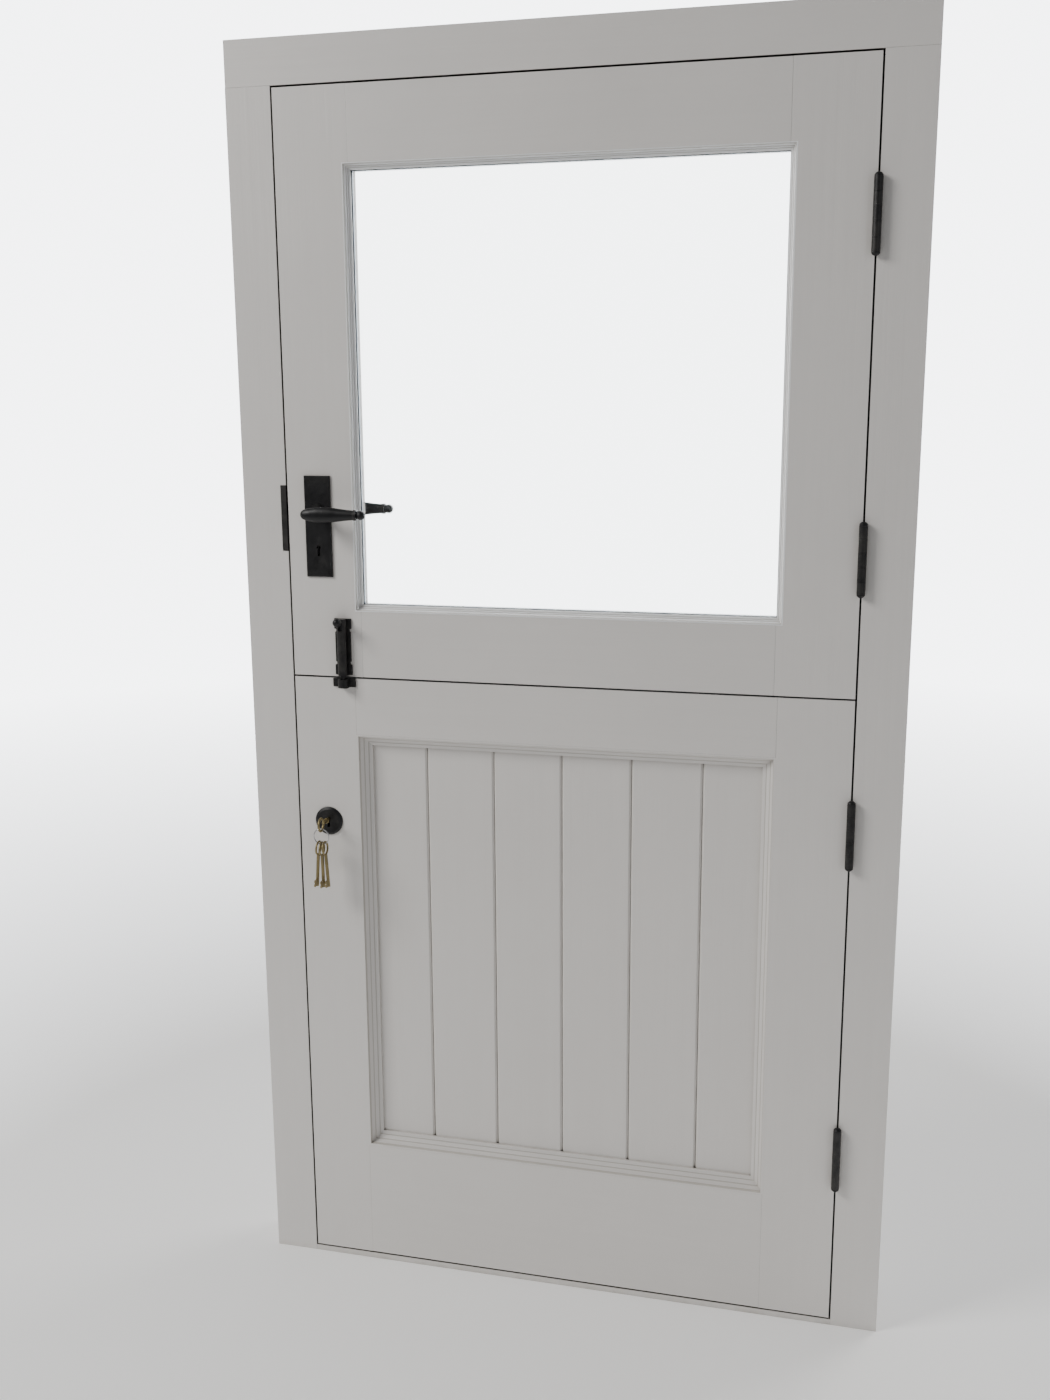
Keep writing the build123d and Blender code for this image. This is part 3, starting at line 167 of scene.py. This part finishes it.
def effect(name, inputs, outputs):
    """An empty shader node group and its inside sockets."""
    tree = bpy.data.node_groups.new(name, "ShaderNodeTree")
    for label, kind, default in inputs:
        socket = tree.interface.new_socket(label, in_out="INPUT", socket_type="NodeSocket" + kind)
        if default is not None:
            socket.default_value = default
    for label, kind in outputs:
        tree.interface.new_socket(label, in_out="OUTPUT", socket_type="NodeSocket" + kind)
    source = tree.nodes.new("NodeGroupInput")
    sink = tree.nodes.new("NodeGroupOutput")
    return tree, source.outputs, sink.inputs


def placed_effect(tree, name, inputs):
    """One use of a node group in a material."""
    made = tree.nodes.new("ShaderNodeGroup")
    made.node_tree = bpy.data.node_groups[name]
    for label, value in inputs.items():
        if isinstance(value, bpy.types.NodeSocket):
            tree.links.new(value, made.inputs[label])
        else:
            made.inputs[label].default_value = value
    return made.outputs


def opaque(colour):
    """A colour with full alpha, for node sockets."""
    return (*colour, 1.0)


# Effects that several materials share


def make_paint_effect():
    """Satin paint laid along a timber member, with the grain showing faintly through it."""
    tree, given, result = effect(
        "Brushed Paint",
        [
            ("Place", "Vector", None),
            ("Grain", "Vector", None),
            ("Colour", "Color", (0.8, 0.8, 0.8, 1.0)),
            ("Dust And Shade", "Color", (0.4, 0.36, 0.3, 1.0)),
            ("Gap Shadow", "Color", (0.05, 0.04, 0.035, 1.0)),
            ("Grain Depth", "Float", 0.5),
            ("Dust And Shade Amount", "Float", 0.5),
        ],
        [("Colour", "Color"), ("Roughness", "Float"), ("Height", "Float")],
    )
    pores = noise(tree, given["Grain"], 1.0, detail=6.0, roughness=0.62, distortion=0.35)
    brush = stretch(tree, given["Grain"], (7.0, 7.0, 0.6))
    bristles = noise(tree, brush, 1.0, detail=2.0)
    peel = noise(tree, given["Place"], 420.0, detail=2.0)
    mottle = noise(tree, given["Place"], 3.4, detail=4.0, roughness=0.6)
    hollows = remap(tree, pores, 0.36, 0.62)

    bristle_height, peel_height = 0.35, 0.22
    height = calculate(tree, "MULTIPLY", hollows, given["Grain Depth"])
    height = calculate(tree, "MULTIPLY_ADD", bristles, bristle_height, height)
    height = calculate(tree, "MULTIPLY_ADD", peel, peel_height, height)
    tree.links.new(height, result["Height"])

    # Painted shade in the corners and creases, found by ambient occlusion, mixed with patches of
    # dust; the same mask makes them duller
    corner_reach, corner_samples = 0.014, 16
    openness = place(
        tree,
        "ShaderNodeAmbientOcclusion",
        {"Distance": corner_reach},
        samples=corner_samples,
    ).outputs["AO"]
    crease = remap(tree, openness, 0.42, 0.97, 1.0, 0.0)
    # Painted shadow, nearly black, deep in the gaps round the leaves
    gap_shadow = remap(tree, openness, 0.22, 0.44, 1.0, 0.0)
    blotches = noise(tree, given["Place"], 26.0, detail=5.0, roughness=0.65)
    patchy = remap(tree, remap(tree, blotches, 0.38, 0.66), 0.0, 1.0, 0.35, 1.0)
    dust_and_shade = calculate(tree, "MULTIPLY", crease, patchy)
    dust_and_shade = calculate(tree, "MULTIPLY", dust_and_shade, given["Dust And Shade Amount"])

    hollow_tone = 0.012
    from_mean = calculate(tree, "SUBTRACT", hollows, 0.5)
    tone = remap(tree, mottle, 0.3, 0.7, 0.975, 1.012)
    tone = calculate(tree, "MULTIPLY_ADD", from_mean, hollow_tone, tone)
    shaded = scaled_colour(tree, given["Colour"], tone)
    painted = blend_colour(tree, dust_and_shade, shaded, given["Dust And Shade"])
    tree.links.new(blend_colour(tree, gap_shadow, painted, given["Gap Shadow"]), result["Colour"])

    dust_and_shade_dullness, bristle_dullness = 0.25, 0.06
    dullness = remap(tree, mottle, 0.3, 0.7, 0.34, 0.44)
    dullness = calculate(tree, "MULTIPLY_ADD", dust_and_shade, dust_and_shade_dullness, dullness)
    dullness = calculate(tree, "MULTIPLY_ADD", bristles, bristle_dullness, dullness)
    tree.links.new(dullness, result["Roughness"])


def make_metal_effect():
    """Beaten or cast metal: shallow dents, a fine grain, and edges rubbed brighter."""
    tree, given, result = effect(
        "Worked Metal",
        [
            ("Place", "Vector", None),
            ("Colour", "Color", (0.1, 0.1, 0.1, 1.0)),
            ("Rubbed", "Color", (0.3, 0.3, 0.3, 1.0)),
            ("Dent Scale", "Float", 90.0),
            ("Dents", "Float", 0.6),
            ("Grain", "Float", 0.3),
            ("Roughness", "Float", 0.45),
            ("Rub", "Float", 0.4),
        ],
        [("Colour", "Color"), ("Roughness", "Float"), ("Height", "Float")],
    )
    dents = place(
        tree,
        "ShaderNodeTexVoronoi",
        {
            "Vector": given["Place"],
            "Scale": given["Dent Scale"],
            "Smoothness": 0.9,
            "Randomness": 1.0,
        },
        feature="SMOOTH_F1",
    ).outputs["Distance"]
    sand = noise(tree, given["Place"], 1400.0, roughness=0.6)
    patches = noise(tree, given["Place"], 45.0, detail=5.0, roughness=0.65)
    height = calculate(tree, "MULTIPLY", dents, given["Dents"])
    height = calculate(tree, "MULTIPLY_ADD", sand, given["Grain"], height)
    tree.links.new(height, result["Height"])

    edge = place(tree, "ShaderNodeNewGeometry").outputs["Pointiness"]
    raised = remap(tree, edge, 0.52, 0.62)
    rub = calculate(tree, "MULTIPLY", raised, remap(tree, patches, 0.35, 0.6))
    rub = calculate(tree, "MULTIPLY", rub, given["Rub"])
    shaded = scaled_colour(tree, given["Colour"], remap(tree, patches, 0.3, 0.7, 0.8, 1.25))
    tree.links.new(blend_colour(tree, rub, shaded, given["Rubbed"]), result["Colour"])

    patch_spread, rub_polish = 0.35, 0.15
    from_mean = calculate(tree, "SUBTRACT", patches, 0.5)
    dullness = calculate(tree, "MULTIPLY_ADD", from_mean, patch_spread, given["Roughness"])
    polish = calculate(tree, "MULTIPLY", rub, rub_polish)
    tree.links.new(calculate(tree, "SUBTRACT", dullness, polish), result["Roughness"])


def make_quirk_effect():
    """Three fine quirks run along a moulding, each at its own distance from the outer edge."""
    tree, given, result = effect(
        "Moulding Quirks",
        [
            ("Across", "Float", 0.0),
            ("First", "Float", 0.002),
            ("Second", "Float", 0.004),
            ("Third", "Float", 0.006),
            ("Half Width", "Float", 0.0005),
        ],
        [("Mask", "Float")],
    )
    solid_share = 0.3
    mask = 0.0
    for label in ("First", "Second", "Third"):
        beside = calculate(tree, "SUBTRACT", given["Across"], given[label])
        away = calculate(tree, "ABSOLUTE", beside)
        away = calculate(tree, "DIVIDE", away, given["Half Width"])
        mask = calculate(tree, "MAXIMUM", remap(tree, away, solid_share, 1.0, 1.0, 0.0), mask)
    tree.links.new(mask, result["Mask"])


# Materials


def material(name):
    """A new material, its tree, its Principled BSDF and the place of each point on the door."""
    made = bpy.data.materials.new(name)
    made.use_nodes = True
    tree = made.node_tree
    shader = tree.nodes["Principled BSDF"]
    position = tree.nodes.new("ShaderNodeTexCoord").outputs["Object"]
    return made, tree, shader, position


def relief(tree, shader, height, distance):
    """Feeds a height, in units of a distance in metres, to the shader's normal."""
    bump = place(tree, "ShaderNodeBump", {"Height": height, "Distance": distance, "Strength": 1.0})
    tree.links.new(bump.outputs["Normal"], shader.inputs["Normal"])


def span(names, axis):
    """Middle and half width of some CAD nodes along an axis."""
    ends = [corner[axis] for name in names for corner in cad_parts[name].bound_box]
    return (min(ends) + max(ends)) / 2, (max(ends) - min(ends)) / 2


def quirk_mask(tree, position, ringed):
    """Where the quirks of a moulding run, from the nodes that ring it."""
    names, axis, (first, second, third, half_width) = ringed
    middle, half = span(names, axis)
    along = place(tree, "ShaderNodeSeparateXYZ", {"Vector": position}).outputs[axis]
    from_middle = calculate(tree, "ABSOLUTE", calculate(tree, "SUBTRACT", along, middle))
    across = calculate(tree, "SUBTRACT", half, from_middle)
    return placed_effect(
        tree,
        "Moulding Quirks",
        {
            "Across": across,
            "First": first,
            "Second": second,
            "Third": third,
            "Half Width": half_width,
        },
    )["Mask"]


def paint_material(name, colour, grain_scale, grain_depth, dust_and_shade_amount, ringed=None):
    """Painted timber whose grain runs along the axis with the smallest scale.

    For a moulding, ringed holds the nodes that ring it, the axis across it and its quirks:
    three distances from the outer edge and half a quirk's width.
    """
    settings = bpy.context.scene.stable_door
    made, tree, shader, position = material(name)
    finish = placed_effect(
        tree,
        "Brushed Paint",
        {
            "Place": position,
            "Grain": stretch(tree, position, grain_scale),
            "Colour": opaque(colour),
            "Dust And Shade": opaque(settings.dust_and_shade_colour),
            "Gap Shadow": opaque(settings.gap_shadow_colour),
            "Grain Depth": grain_depth,
            "Dust And Shade Amount": dust_and_shade_amount,
        },
    )
    painted, height = finish["Colour"], finish["Height"]
    if ringed:
        # Painted shade darkens the quirks, which the bump also cuts in
        quirk_shade, quirk_height = 0.55, -2.5
        quirks = quirk_mask(tree, position, ringed)
        shade = calculate(tree, "MULTIPLY", quirks, quirk_shade)
        painted = blend_colour(tree, shade, painted, opaque(settings.dust_and_shade_colour))
        height = calculate(tree, "MULTIPLY_ADD", quirks, quirk_height, height)
    tree.links.new(painted, shader.inputs["Base Color"])
    tree.links.new(finish["Roughness"], shader.inputs["Roughness"])
    shader.inputs["Specular IOR Level"].default_value = 0.5
    shader.inputs["Coat Weight"].default_value = 0.12
    shader.inputs["Coat Roughness"].default_value = 0.25
    relief(tree, shader, height, distance=0.00022)
    return made


def metal_material(name, colour, rubbed, metallic, roughness, dents, dent_scale, grain, rub, depth):
    """Iron, steel or brass with its own dents, grain and rubbed edges."""
    made, tree, shader, position = material(name)
    finish = placed_effect(
        tree,
        "Worked Metal",
        {
            "Place": position,
            "Colour": opaque(colour),
            "Rubbed": opaque(rubbed),
            "Dent Scale": dent_scale,
            "Dents": dents,
            "Grain": grain,
            "Roughness": roughness,
            "Rub": rub,
        },
    )
    tree.links.new(finish["Colour"], shader.inputs["Base Color"])
    tree.links.new(finish["Roughness"], shader.inputs["Roughness"])
    shader.inputs["Metallic"].default_value = metallic
    relief(tree, shader, finish["Height"], distance=depth)
    return made


def dress(names, finish):
    """Gives CAD nodes a material."""
    for name in names:
        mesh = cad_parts[name].data
        mesh.materials.clear()
        mesh.materials.append(finish)


def soften(names, width):
    """Rounds the sharp arrises of CAD nodes by a small width, inside their own size."""
    same_point, sharp_from = 1e-6, math.radians(35)
    for name in names:
        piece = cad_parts[name]
        # The imported normals are those of the sharp edges
        normals = piece.data.attributes.get("custom_normal")
        if normals:
            piece.data.attributes.remove(normals)
        join = piece.modifiers.new("Join faces", "WELD")
        join.merge_threshold = same_point
        arris = piece.modifiers.new("Soft arrises", "BEVEL")
        arris.width = width
        arris.segments = 2
        arris.limit_method = "ANGLE"
        arris.angle_limit = sharp_from
        arris.harden_normals = True


def soft_light(name, stands_at, size, power, colour):
    """A rectangle of soft light turned to the middle of the door."""
    lamp = bpy.data.lights.new(name, "AREA")
    lamp.shape = "RECTANGLE"
    lamp.size, lamp.size_y = size
    lamp.energy = power
    lamp.color = colour
    holder = bpy.data.objects.new(name, lamp)
    holder.location = stands_at
    aim = Vector(DOOR_MIDDLE) - Vector(stands_at)
    holder.rotation_euler = aim.to_track_quat("-Z", "Y").to_euler()
    bpy.context.scene.collection.objects.link(holder)


def studio_floor():
    """A round pale floor that fades out towards its edge."""
    radius, sides = 7.0, 96
    fade_from, fade_to = 1.2, 5.6
    shape = bmesh.new()
    bmesh.ops.create_circle(shape, cap_ends=True, radius=radius, segments=sides)
    mesh = bpy.data.meshes.new("studio_floor")
    shape.to_mesh(mesh)
    shape.free()
    floor = bpy.data.objects.new("studio_floor", mesh)
    bpy.context.scene.collection.objects.link(floor)
    made, tree, shader, position = material("studio_paper")
    reach = place(tree, "ShaderNodeVectorMath", {0: position}, operation="LENGTH")
    fade = remap(tree, reach.outputs["Value"], fade_from, fade_to, 1.0, 0.0)
    fibre = noise(tree, position, 260.0, roughness=0.6)
    paper = blend_colour(tree, fibre, (0.76, 0.755, 0.745, 1.0), (0.79, 0.785, 0.775, 1.0))
    tree.links.new(paper, shader.inputs["Base Color"])
    tree.links.new(fade, shader.inputs["Alpha"])
    shader.inputs["Roughness"].default_value = 0.8
    shader.inputs["Emission Color"].default_value = (1.0, 0.99, 0.975, 1.0)
    shader.inputs["Emission Strength"].default_value = 0.28
    mesh.materials.append(made)


def studio_air(settings):
    """A bright surround to look at, with a dim room side and a brighter outside as light."""
    world = bpy.data.worlds.new("studio_air")
    world.use_nodes = True
    tree = world.node_tree
    air = tree.nodes["Background"]
    air.inputs["Color"].default_value = (0.95, 0.97, 1.0, 1.0)
    facing = place(tree, "ShaderNodeTexCoord").outputs["Generated"]
    outward = place(tree, "ShaderNodeSeparateXYZ", {"Vector": facing}).outputs["Y"]
    glow = remap(tree, outward, -0.15, 0.5, settings.room_air, settings.outside_air)
    sight = place(tree, "ShaderNodeLightPath").outputs
    seen = calculate(tree, "MAXIMUM", sight["Is Camera Ray"], sight["Is Transmission Ray"])
    shown = calculate(tree, "MULTIPLY", seen, settings.surround)
    kept = calculate(tree, "MULTIPLY", calculate(tree, "SUBTRACT", 1.0, seen), glow)
    tree.links.new(calculate(tree, "ADD", shown, kept), air.inputs["Strength"])
    bpy.context.scene.world = world


# Settings


class StableDoorSettings(PropertyGroup):
    """Colours and sizes that a user would change."""

    paint_colour: FloatVectorProperty(
        name="Paint",
        description="Colour of the painted timber",
        subtype="COLOR",
        size=3,
        min=0.0,
        max=1.0,
        default=(0.73, 0.705, 0.68),
    )
    # The beads are painted lighter than the timber, as painted light for the light that comes
    # through the glass
    bead_lit_colour: FloatVectorProperty(
        name="Glazing beads",
        description="Colour of the beads that hold the glass",
        subtype="COLOR",
        size=3,
        min=0.0,
        max=1.0,
        default=(0.93, 0.935, 0.94),
    )
    # Dust and painted shade share this colour, in the corners of the timber and in the quirks of
    # the mouldings
    dust_and_shade_colour: FloatVectorProperty(
        name="Dust And Shade",
        description="Colour of the dust in the corners of the timber",
        subtype="COLOR",
        size=3,
        min=0.0,
        max=1.0,
        default=(0.37, 0.33, 0.265),
    )
    # The gaps round the leaves are darkened to this colour as painted shadow
    gap_shadow_colour: FloatVectorProperty(
        name="Gaps",
        description="Colour of the bare edges deep in the gaps round the leaves",
        subtype="COLOR",
        size=3,
        min=0.0,
        max=1.0,
        default=(0.05, 0.042, 0.036),
    )
    iron_colour: FloatVectorProperty(
        name="Ironwork",
        description="Colour of the black levers, plates, bolts and hinges",
        subtype="COLOR",
        size=3,
        min=0.0,
        max=1.0,
        default=(0.008, 0.008, 0.009),
    )
    brass_colour: FloatVectorProperty(
        name="Keys",
        description="Colour of the brass keys",
        subtype="COLOR",
        size=3,
        min=0.0,
        max=1.0,
        default=(0.27, 0.22, 0.115),
    )
    arris: FloatProperty(
        name="Timber arris",
        description="Width of the rounding on the edges of the timber",
        unit="LENGTH",
        min=0.0001,
        max=0.003,
        default=0.0009,
    )
    camera_place: FloatVectorProperty(
        name="Camera place",
        description="Where the camera stands, in the frame of the door",
        subtype="XYZ",
        unit="LENGTH",
        size=3,
        default=(0.497, -2.238, 1.5375),
    )
    camera_turn: FloatVectorProperty(
        name="Camera turn",
        description="Turn of the camera about X, Y and Z",
        subtype="EULER",
        unit="ROTATION",
        size=3,
        default=(math.radians(77.796), math.radians(0.352), math.radians(14.205)),
    )
    camera_lens: FloatProperty(
        name="Camera lens",
        description="Focal length on a picture 36 mm high",
        min=10.0,
        max=200.0,
        default=36.91,
    )
    key_light: FloatProperty(
        name="Key light",
        description="Power of the soft light above the lock side, in watts",
        min=0.0,
        default=165.0,
    )
    fill_light: FloatProperty(
        name="Fill light",
        description="Power of the weak light on the hinge side, in watts",
        min=0.0,
        default=12.0,
    )
    back_light: FloatProperty(
        name="Back light",
        description="Power of the soft light on the outside of the door, in watts",
        min=0.0,
        default=70.0,
    )
    room_air: FloatProperty(
        name="Room air",
        description="Strength of the even light on the room side",
        min=0.0,
        default=0.14,
    )
    outside_air: FloatProperty(
        name="Outside air",
        description="Strength of the even light on the outside",
        min=0.0,
        default=0.9,
    )
    surround: FloatProperty(
        name="Surround",
        description="Brightness of the plain surround behind everything",
        min=0.0,
        default=6.0,
    )


# Operators, one for each group of like pieces


class DOOR_OT_painted_timber(Operator):
    """Paints the frame, the two leaves, the boards and the mouldings"""

    bl_idname = "stable_door.painted_timber"
    bl_label = "Paint the Timber"

    def execute(self, context):
        settings = context.scene.stable_door
        # The glazing beads take a lighter white than the timber: painted light for the light
        # through the glass
        colour, lit_bead_white = settings.paint_colour, settings.bead_lit_colour
        upright = paint_material("painted_upright", colour, (95.0, 95.0, 2.6), 0.5, dust_and_shade_amount=0.3)
        level = paint_material("painted_rail", colour, (2.6, 95.0, 95.0), 0.5, dust_and_shade_amount=0.3)
        board = paint_material("painted_board", colour, (70.0, 70.0, 2.0), 0.6, dust_and_shade_amount=0.4)
        sill = paint_material("painted_sill", colour, (2.2, 80.0, 80.0), 0.7, dust_and_shade_amount=0.6)
        dress(UPRIGHTS, upright)
        dress(RAILS, level)
        dress(BOARDS, board)
        dress((THRESHOLD,), sill)
        soften((*UPRIGHTS, *RAILS, THRESHOLD), settings.arris)
        soften(BOARDS, settings.arris / 2)

        upright_grain, level_grain = (120.0, 120.0, 3.0), (3.0, 120.0, 120.0)
        wide = (0.0035, 0.0085, 0.0150, 0.0008)
        narrow = (0.0021, 0.0045, 0.0070, 0.0006)
        for name, names, shade, grain, dust_and_shade_amount, axis, quirks in (
            ("upright_moulding", UPRIGHT_MOULDINGS, colour, upright_grain, 0.5, ACROSS, wide),
            ("level_moulding", LEVEL_MOULDINGS, colour, level_grain, 0.5, UP, wide),
            ("upright_bead_lit", UPRIGHT_BEADS, lit_bead_white, upright_grain, 0.55, ACROSS, narrow),
            ("level_bead_lit", LEVEL_BEADS, lit_bead_white, level_grain, 0.55, UP, narrow),
        ):
            ringed = (names, axis, quirks)
            dress(names, paint_material("painted_" + name, shade, grain, 0.3, dust_and_shade_amount, ringed))
        return {"FINISHED"}


class DOOR_OT_glazing(Operator):
    """Makes the panes clear and the spacer between them satin metal"""

    bl_idname = "stable_door.glazing"
    bl_label = "Glaze the Upper Leaf"

    def execute(self, context):
        made, tree, shader, position = material("clear_glass")
        shader.inputs["Base Color"].default_value = (0.985, 0.995, 0.99, 1.0)
        shader.inputs["Transmission Weight"].default_value = 1.0
        shader.inputs["IOR"].default_value = 1.5
        wiped = stretch(tree, position, (6.0, 1.0, 2.2))
        smears = noise(tree, wiped, 2.0, detail=4.0, roughness=0.55, distortion=0.6)
        tree.links.new(remap(tree, smears, 0.45, 0.75, 0.0, 0.018), shader.inputs["Roughness"])
        dress(PANES, made)
        spacer = metal_material(
            "spacer_aluminium",
            colour=(0.20, 0.22, 0.235),
            rubbed=(0.32, 0.33, 0.34),
            metallic=1.0,
            roughness=0.42,
            dents=0.1,
            dent_scale=400.0,
            grain=0.2,
            rub=0.1,
            depth=0.00005,
        )
        dress(("spacer_bar",), spacer)
        return {"FINISHED"}


class DOOR_OT_ironwork(Operator):
    """Blackens the levers, plates, bolts, hinges and screws"""

    bl_idname = "stable_door.ironwork"
    bl_label = "Blacken the Ironwork"

    def execute(self, context):
        black = context.scene.stable_door.iron_colour
        worn = (0.055, 0.052, 0.048)
        plate = metal_material(
            "black_iron_plate",
            black,
            worn,
            metallic=0.35,
            roughness=0.46,
            dents=0.8,
            dent_scale=110.0,
            grain=0.25,
            rub=0.5,
            depth=0.0006,
        )
        turned = metal_material(
            "black_iron_turned",
            black,
            worn,
            metallic=0.35,
            roughness=0.4,
            dents=0.35,
            dent_scale=130.0,
            grain=0.2,
            rub=0.6,
            depth=0.0005,
        )
        rolled = metal_material(
            "black_iron_hinge",
            black,
            worn,
            metallic=0.35,
            roughness=0.48,
            dents=0.3,
            dent_scale=90.0,
            grain=0.35,
            rub=0.5,
            depth=0.0004,
        )
        head = metal_material(
            "black_screw",
            (0.02, 0.02, 0.02),
            worn,
            metallic=0.5,
            roughness=0.38,
            dents=0.1,
            dent_scale=300.0,
            grain=0.2,
            rub=0.4,
            depth=0.0002,
        )
        dress(IRON_PLATES, plate)
        dress(IRON_TURNED, turned)
        dress(IRON_HINGES, rolled)
        dress(SCREWS, head)
        return {"FINISHED"}


class DOOR_OT_locks(Operator):
    """Finishes the lock cases, forends, bolts, spindle and strike plates"""

    bl_idname = "stable_door.locks"
    bl_label = "Finish the Locks"

    def execute(self, context):
        steel = metal_material(
            "satin_steel",
            colour=(0.50, 0.50, 0.49),
            rubbed=(0.68, 0.68, 0.66),
            metallic=1.0,
            roughness=0.34,
            dents=0.05,
            dent_scale=200.0,
            grain=0.3,
            rub=0.4,
            depth=0.0001,
        )
        bronze = metal_material(
            "bronzed_steel",
            colour=(0.035, 0.034, 0.033),
            rubbed=(0.09, 0.086, 0.08),
            metallic=0.6,
            roughness=0.50,
            dents=0.15,
            dent_scale=150.0,
            grain=0.3,
            rub=0.3,
            depth=0.0002,
        )
        dress(LOCK_WORKS, steel)
        dress(STRIKES, bronze)
        return {"FINISHED"}


class DOOR_OT_keys(Operator):
    """Finishes the key in the lock and the ring of keys on it"""

    bl_idname = "stable_door.keys"
    bl_label = "Finish the Keys"

    def execute(self, context):
        brass = metal_material(
            "worn_brass",
            context.scene.stable_door.brass_colour,
            rubbed=(0.42, 0.35, 0.20),
            metallic=1.0,
            roughness=0.44,
            dents=0.15,
            dent_scale=260.0,
            grain=0.2,
            rub=0.5,
            depth=0.0001,
        )
        wire = metal_material(
            "ring_steel",
            colour=(0.55, 0.55, 0.56),
            rubbed=(0.75, 0.75, 0.75),
            metallic=1.0,
            roughness=0.25,
            dents=0.05,
            dent_scale=260.0,
            grain=0.15,
            rub=0.3,
            depth=0.00005,
        )
        dress(KEYS, brass)
        dress(("key_ring",), wire)
        return {"FINISHED"}


class DOOR_OT_seal(Operator):
    """Finishes the rubber seal on the stop"""

    bl_idname = "stable_door.seal"
    bl_label = "Finish the Seal"

    def execute(self, context):
        made, tree, shader, position = material("pale_rubber")
        dark, pale = (0.52, 0.51, 0.49, 1.0), (0.58, 0.57, 0.55, 1.0)
        bloom = noise(tree, position, 60.0, detail=4.0, roughness=0.6)
        colour = blend_colour(tree, remap(tree, bloom, 0.35, 0.65), dark, pale)
        tree.links.new(colour, shader.inputs["Base Color"])
        tree.links.new(remap(tree, bloom, 0.3, 0.7, 0.6, 0.75), shader.inputs["Roughness"])
        relief(tree, shader, noise(tree, position, 900.0, detail=2.0), distance=0.00005)
        dress(("frame_seal",), made)
        return {"FINISHED"}


class DOOR_OT_studio(Operator):
    """Sets a plain pale floor, soft light and the camera"""

    bl_idname = "stable_door.studio"
    bl_label = "Set the Studio"

    def execute(self, context):
        settings = context.scene.stable_door
        studio_floor()
        soft_light("key_light", (-3.3, -2.3, 3.7), (1.7, 1.7), settings.key_light, WARM_WHITE)
        soft_light("fill_light", (3.2, -2.6, 1.9), (1.6, 2.4), settings.fill_light, COOL_WHITE)
        soft_light("back_light", (2.4, 2.6, 3.4), (1.8, 1.8), settings.back_light, WARM_WHITE)
        studio_air(settings)

        lens = bpy.data.cameras.new("door_camera")
        lens.lens = settings.camera_lens
        lens.sensor_width = PICTURE_HEIGHT_MM
        camera = bpy.data.objects.new("door_camera", lens)
        camera.location = settings.camera_place
        camera.rotation_euler = settings.camera_turn
        context.scene.collection.objects.link(camera)
        context.scene.camera = camera
        return {"FINISHED"}


class DOOR_PT_finishes(Panel):
    """Shows the door's settings and operator buttons in the sidebar"""

    bl_idname = "DOOR_PT_finishes"
    bl_label = "Stable Door"
    bl_space_type = "VIEW_3D"
    bl_region_type = "UI"
    bl_category = "Stable Door"

    def draw(self, context):
        layout = self.layout
        settings = context.scene.stable_door
        for name in settings.bl_rna.properties.keys():
            if name not in ("rna_type", "name"):
                layout.prop(settings, name)
        for operator in OPERATORS:
            layout.operator(operator.bl_idname)


OPERATORS = (
    DOOR_OT_painted_timber,
    DOOR_OT_glazing,
    DOOR_OT_ironwork,
    DOOR_OT_locks,
    DOOR_OT_keys,
    DOOR_OT_seal,
    DOOR_OT_studio,
)
CLASSES = (StableDoorSettings, *OPERATORS, DOOR_PT_finishes)


def register():
    """Adds the settings, the operators and the panel."""
    for entry in CLASSES:
        bpy.utils.register_class(entry)
    bpy.types.Scene.stable_door = PointerProperty(type=StableDoorSettings)


def unregister():
    """Takes out what register added."""
    del bpy.types.Scene.stable_door
    for entry in reversed(CLASSES):
        bpy.utils.unregister_class(entry)


def main():
    """Builds the finishes in order."""
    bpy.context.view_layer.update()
    register()
    make_paint_effect()
    make_metal_effect()
    make_quirk_effect()
    bpy.ops.stable_door.painted_timber()
    bpy.ops.stable_door.glazing()
    bpy.ops.stable_door.ironwork()
    bpy.ops.stable_door.locks()
    bpy.ops.stable_door.keys()
    bpy.ops.stable_door.seal()
    bpy.ops.stable_door.studio()


if __name__ == "__main__":
    main()
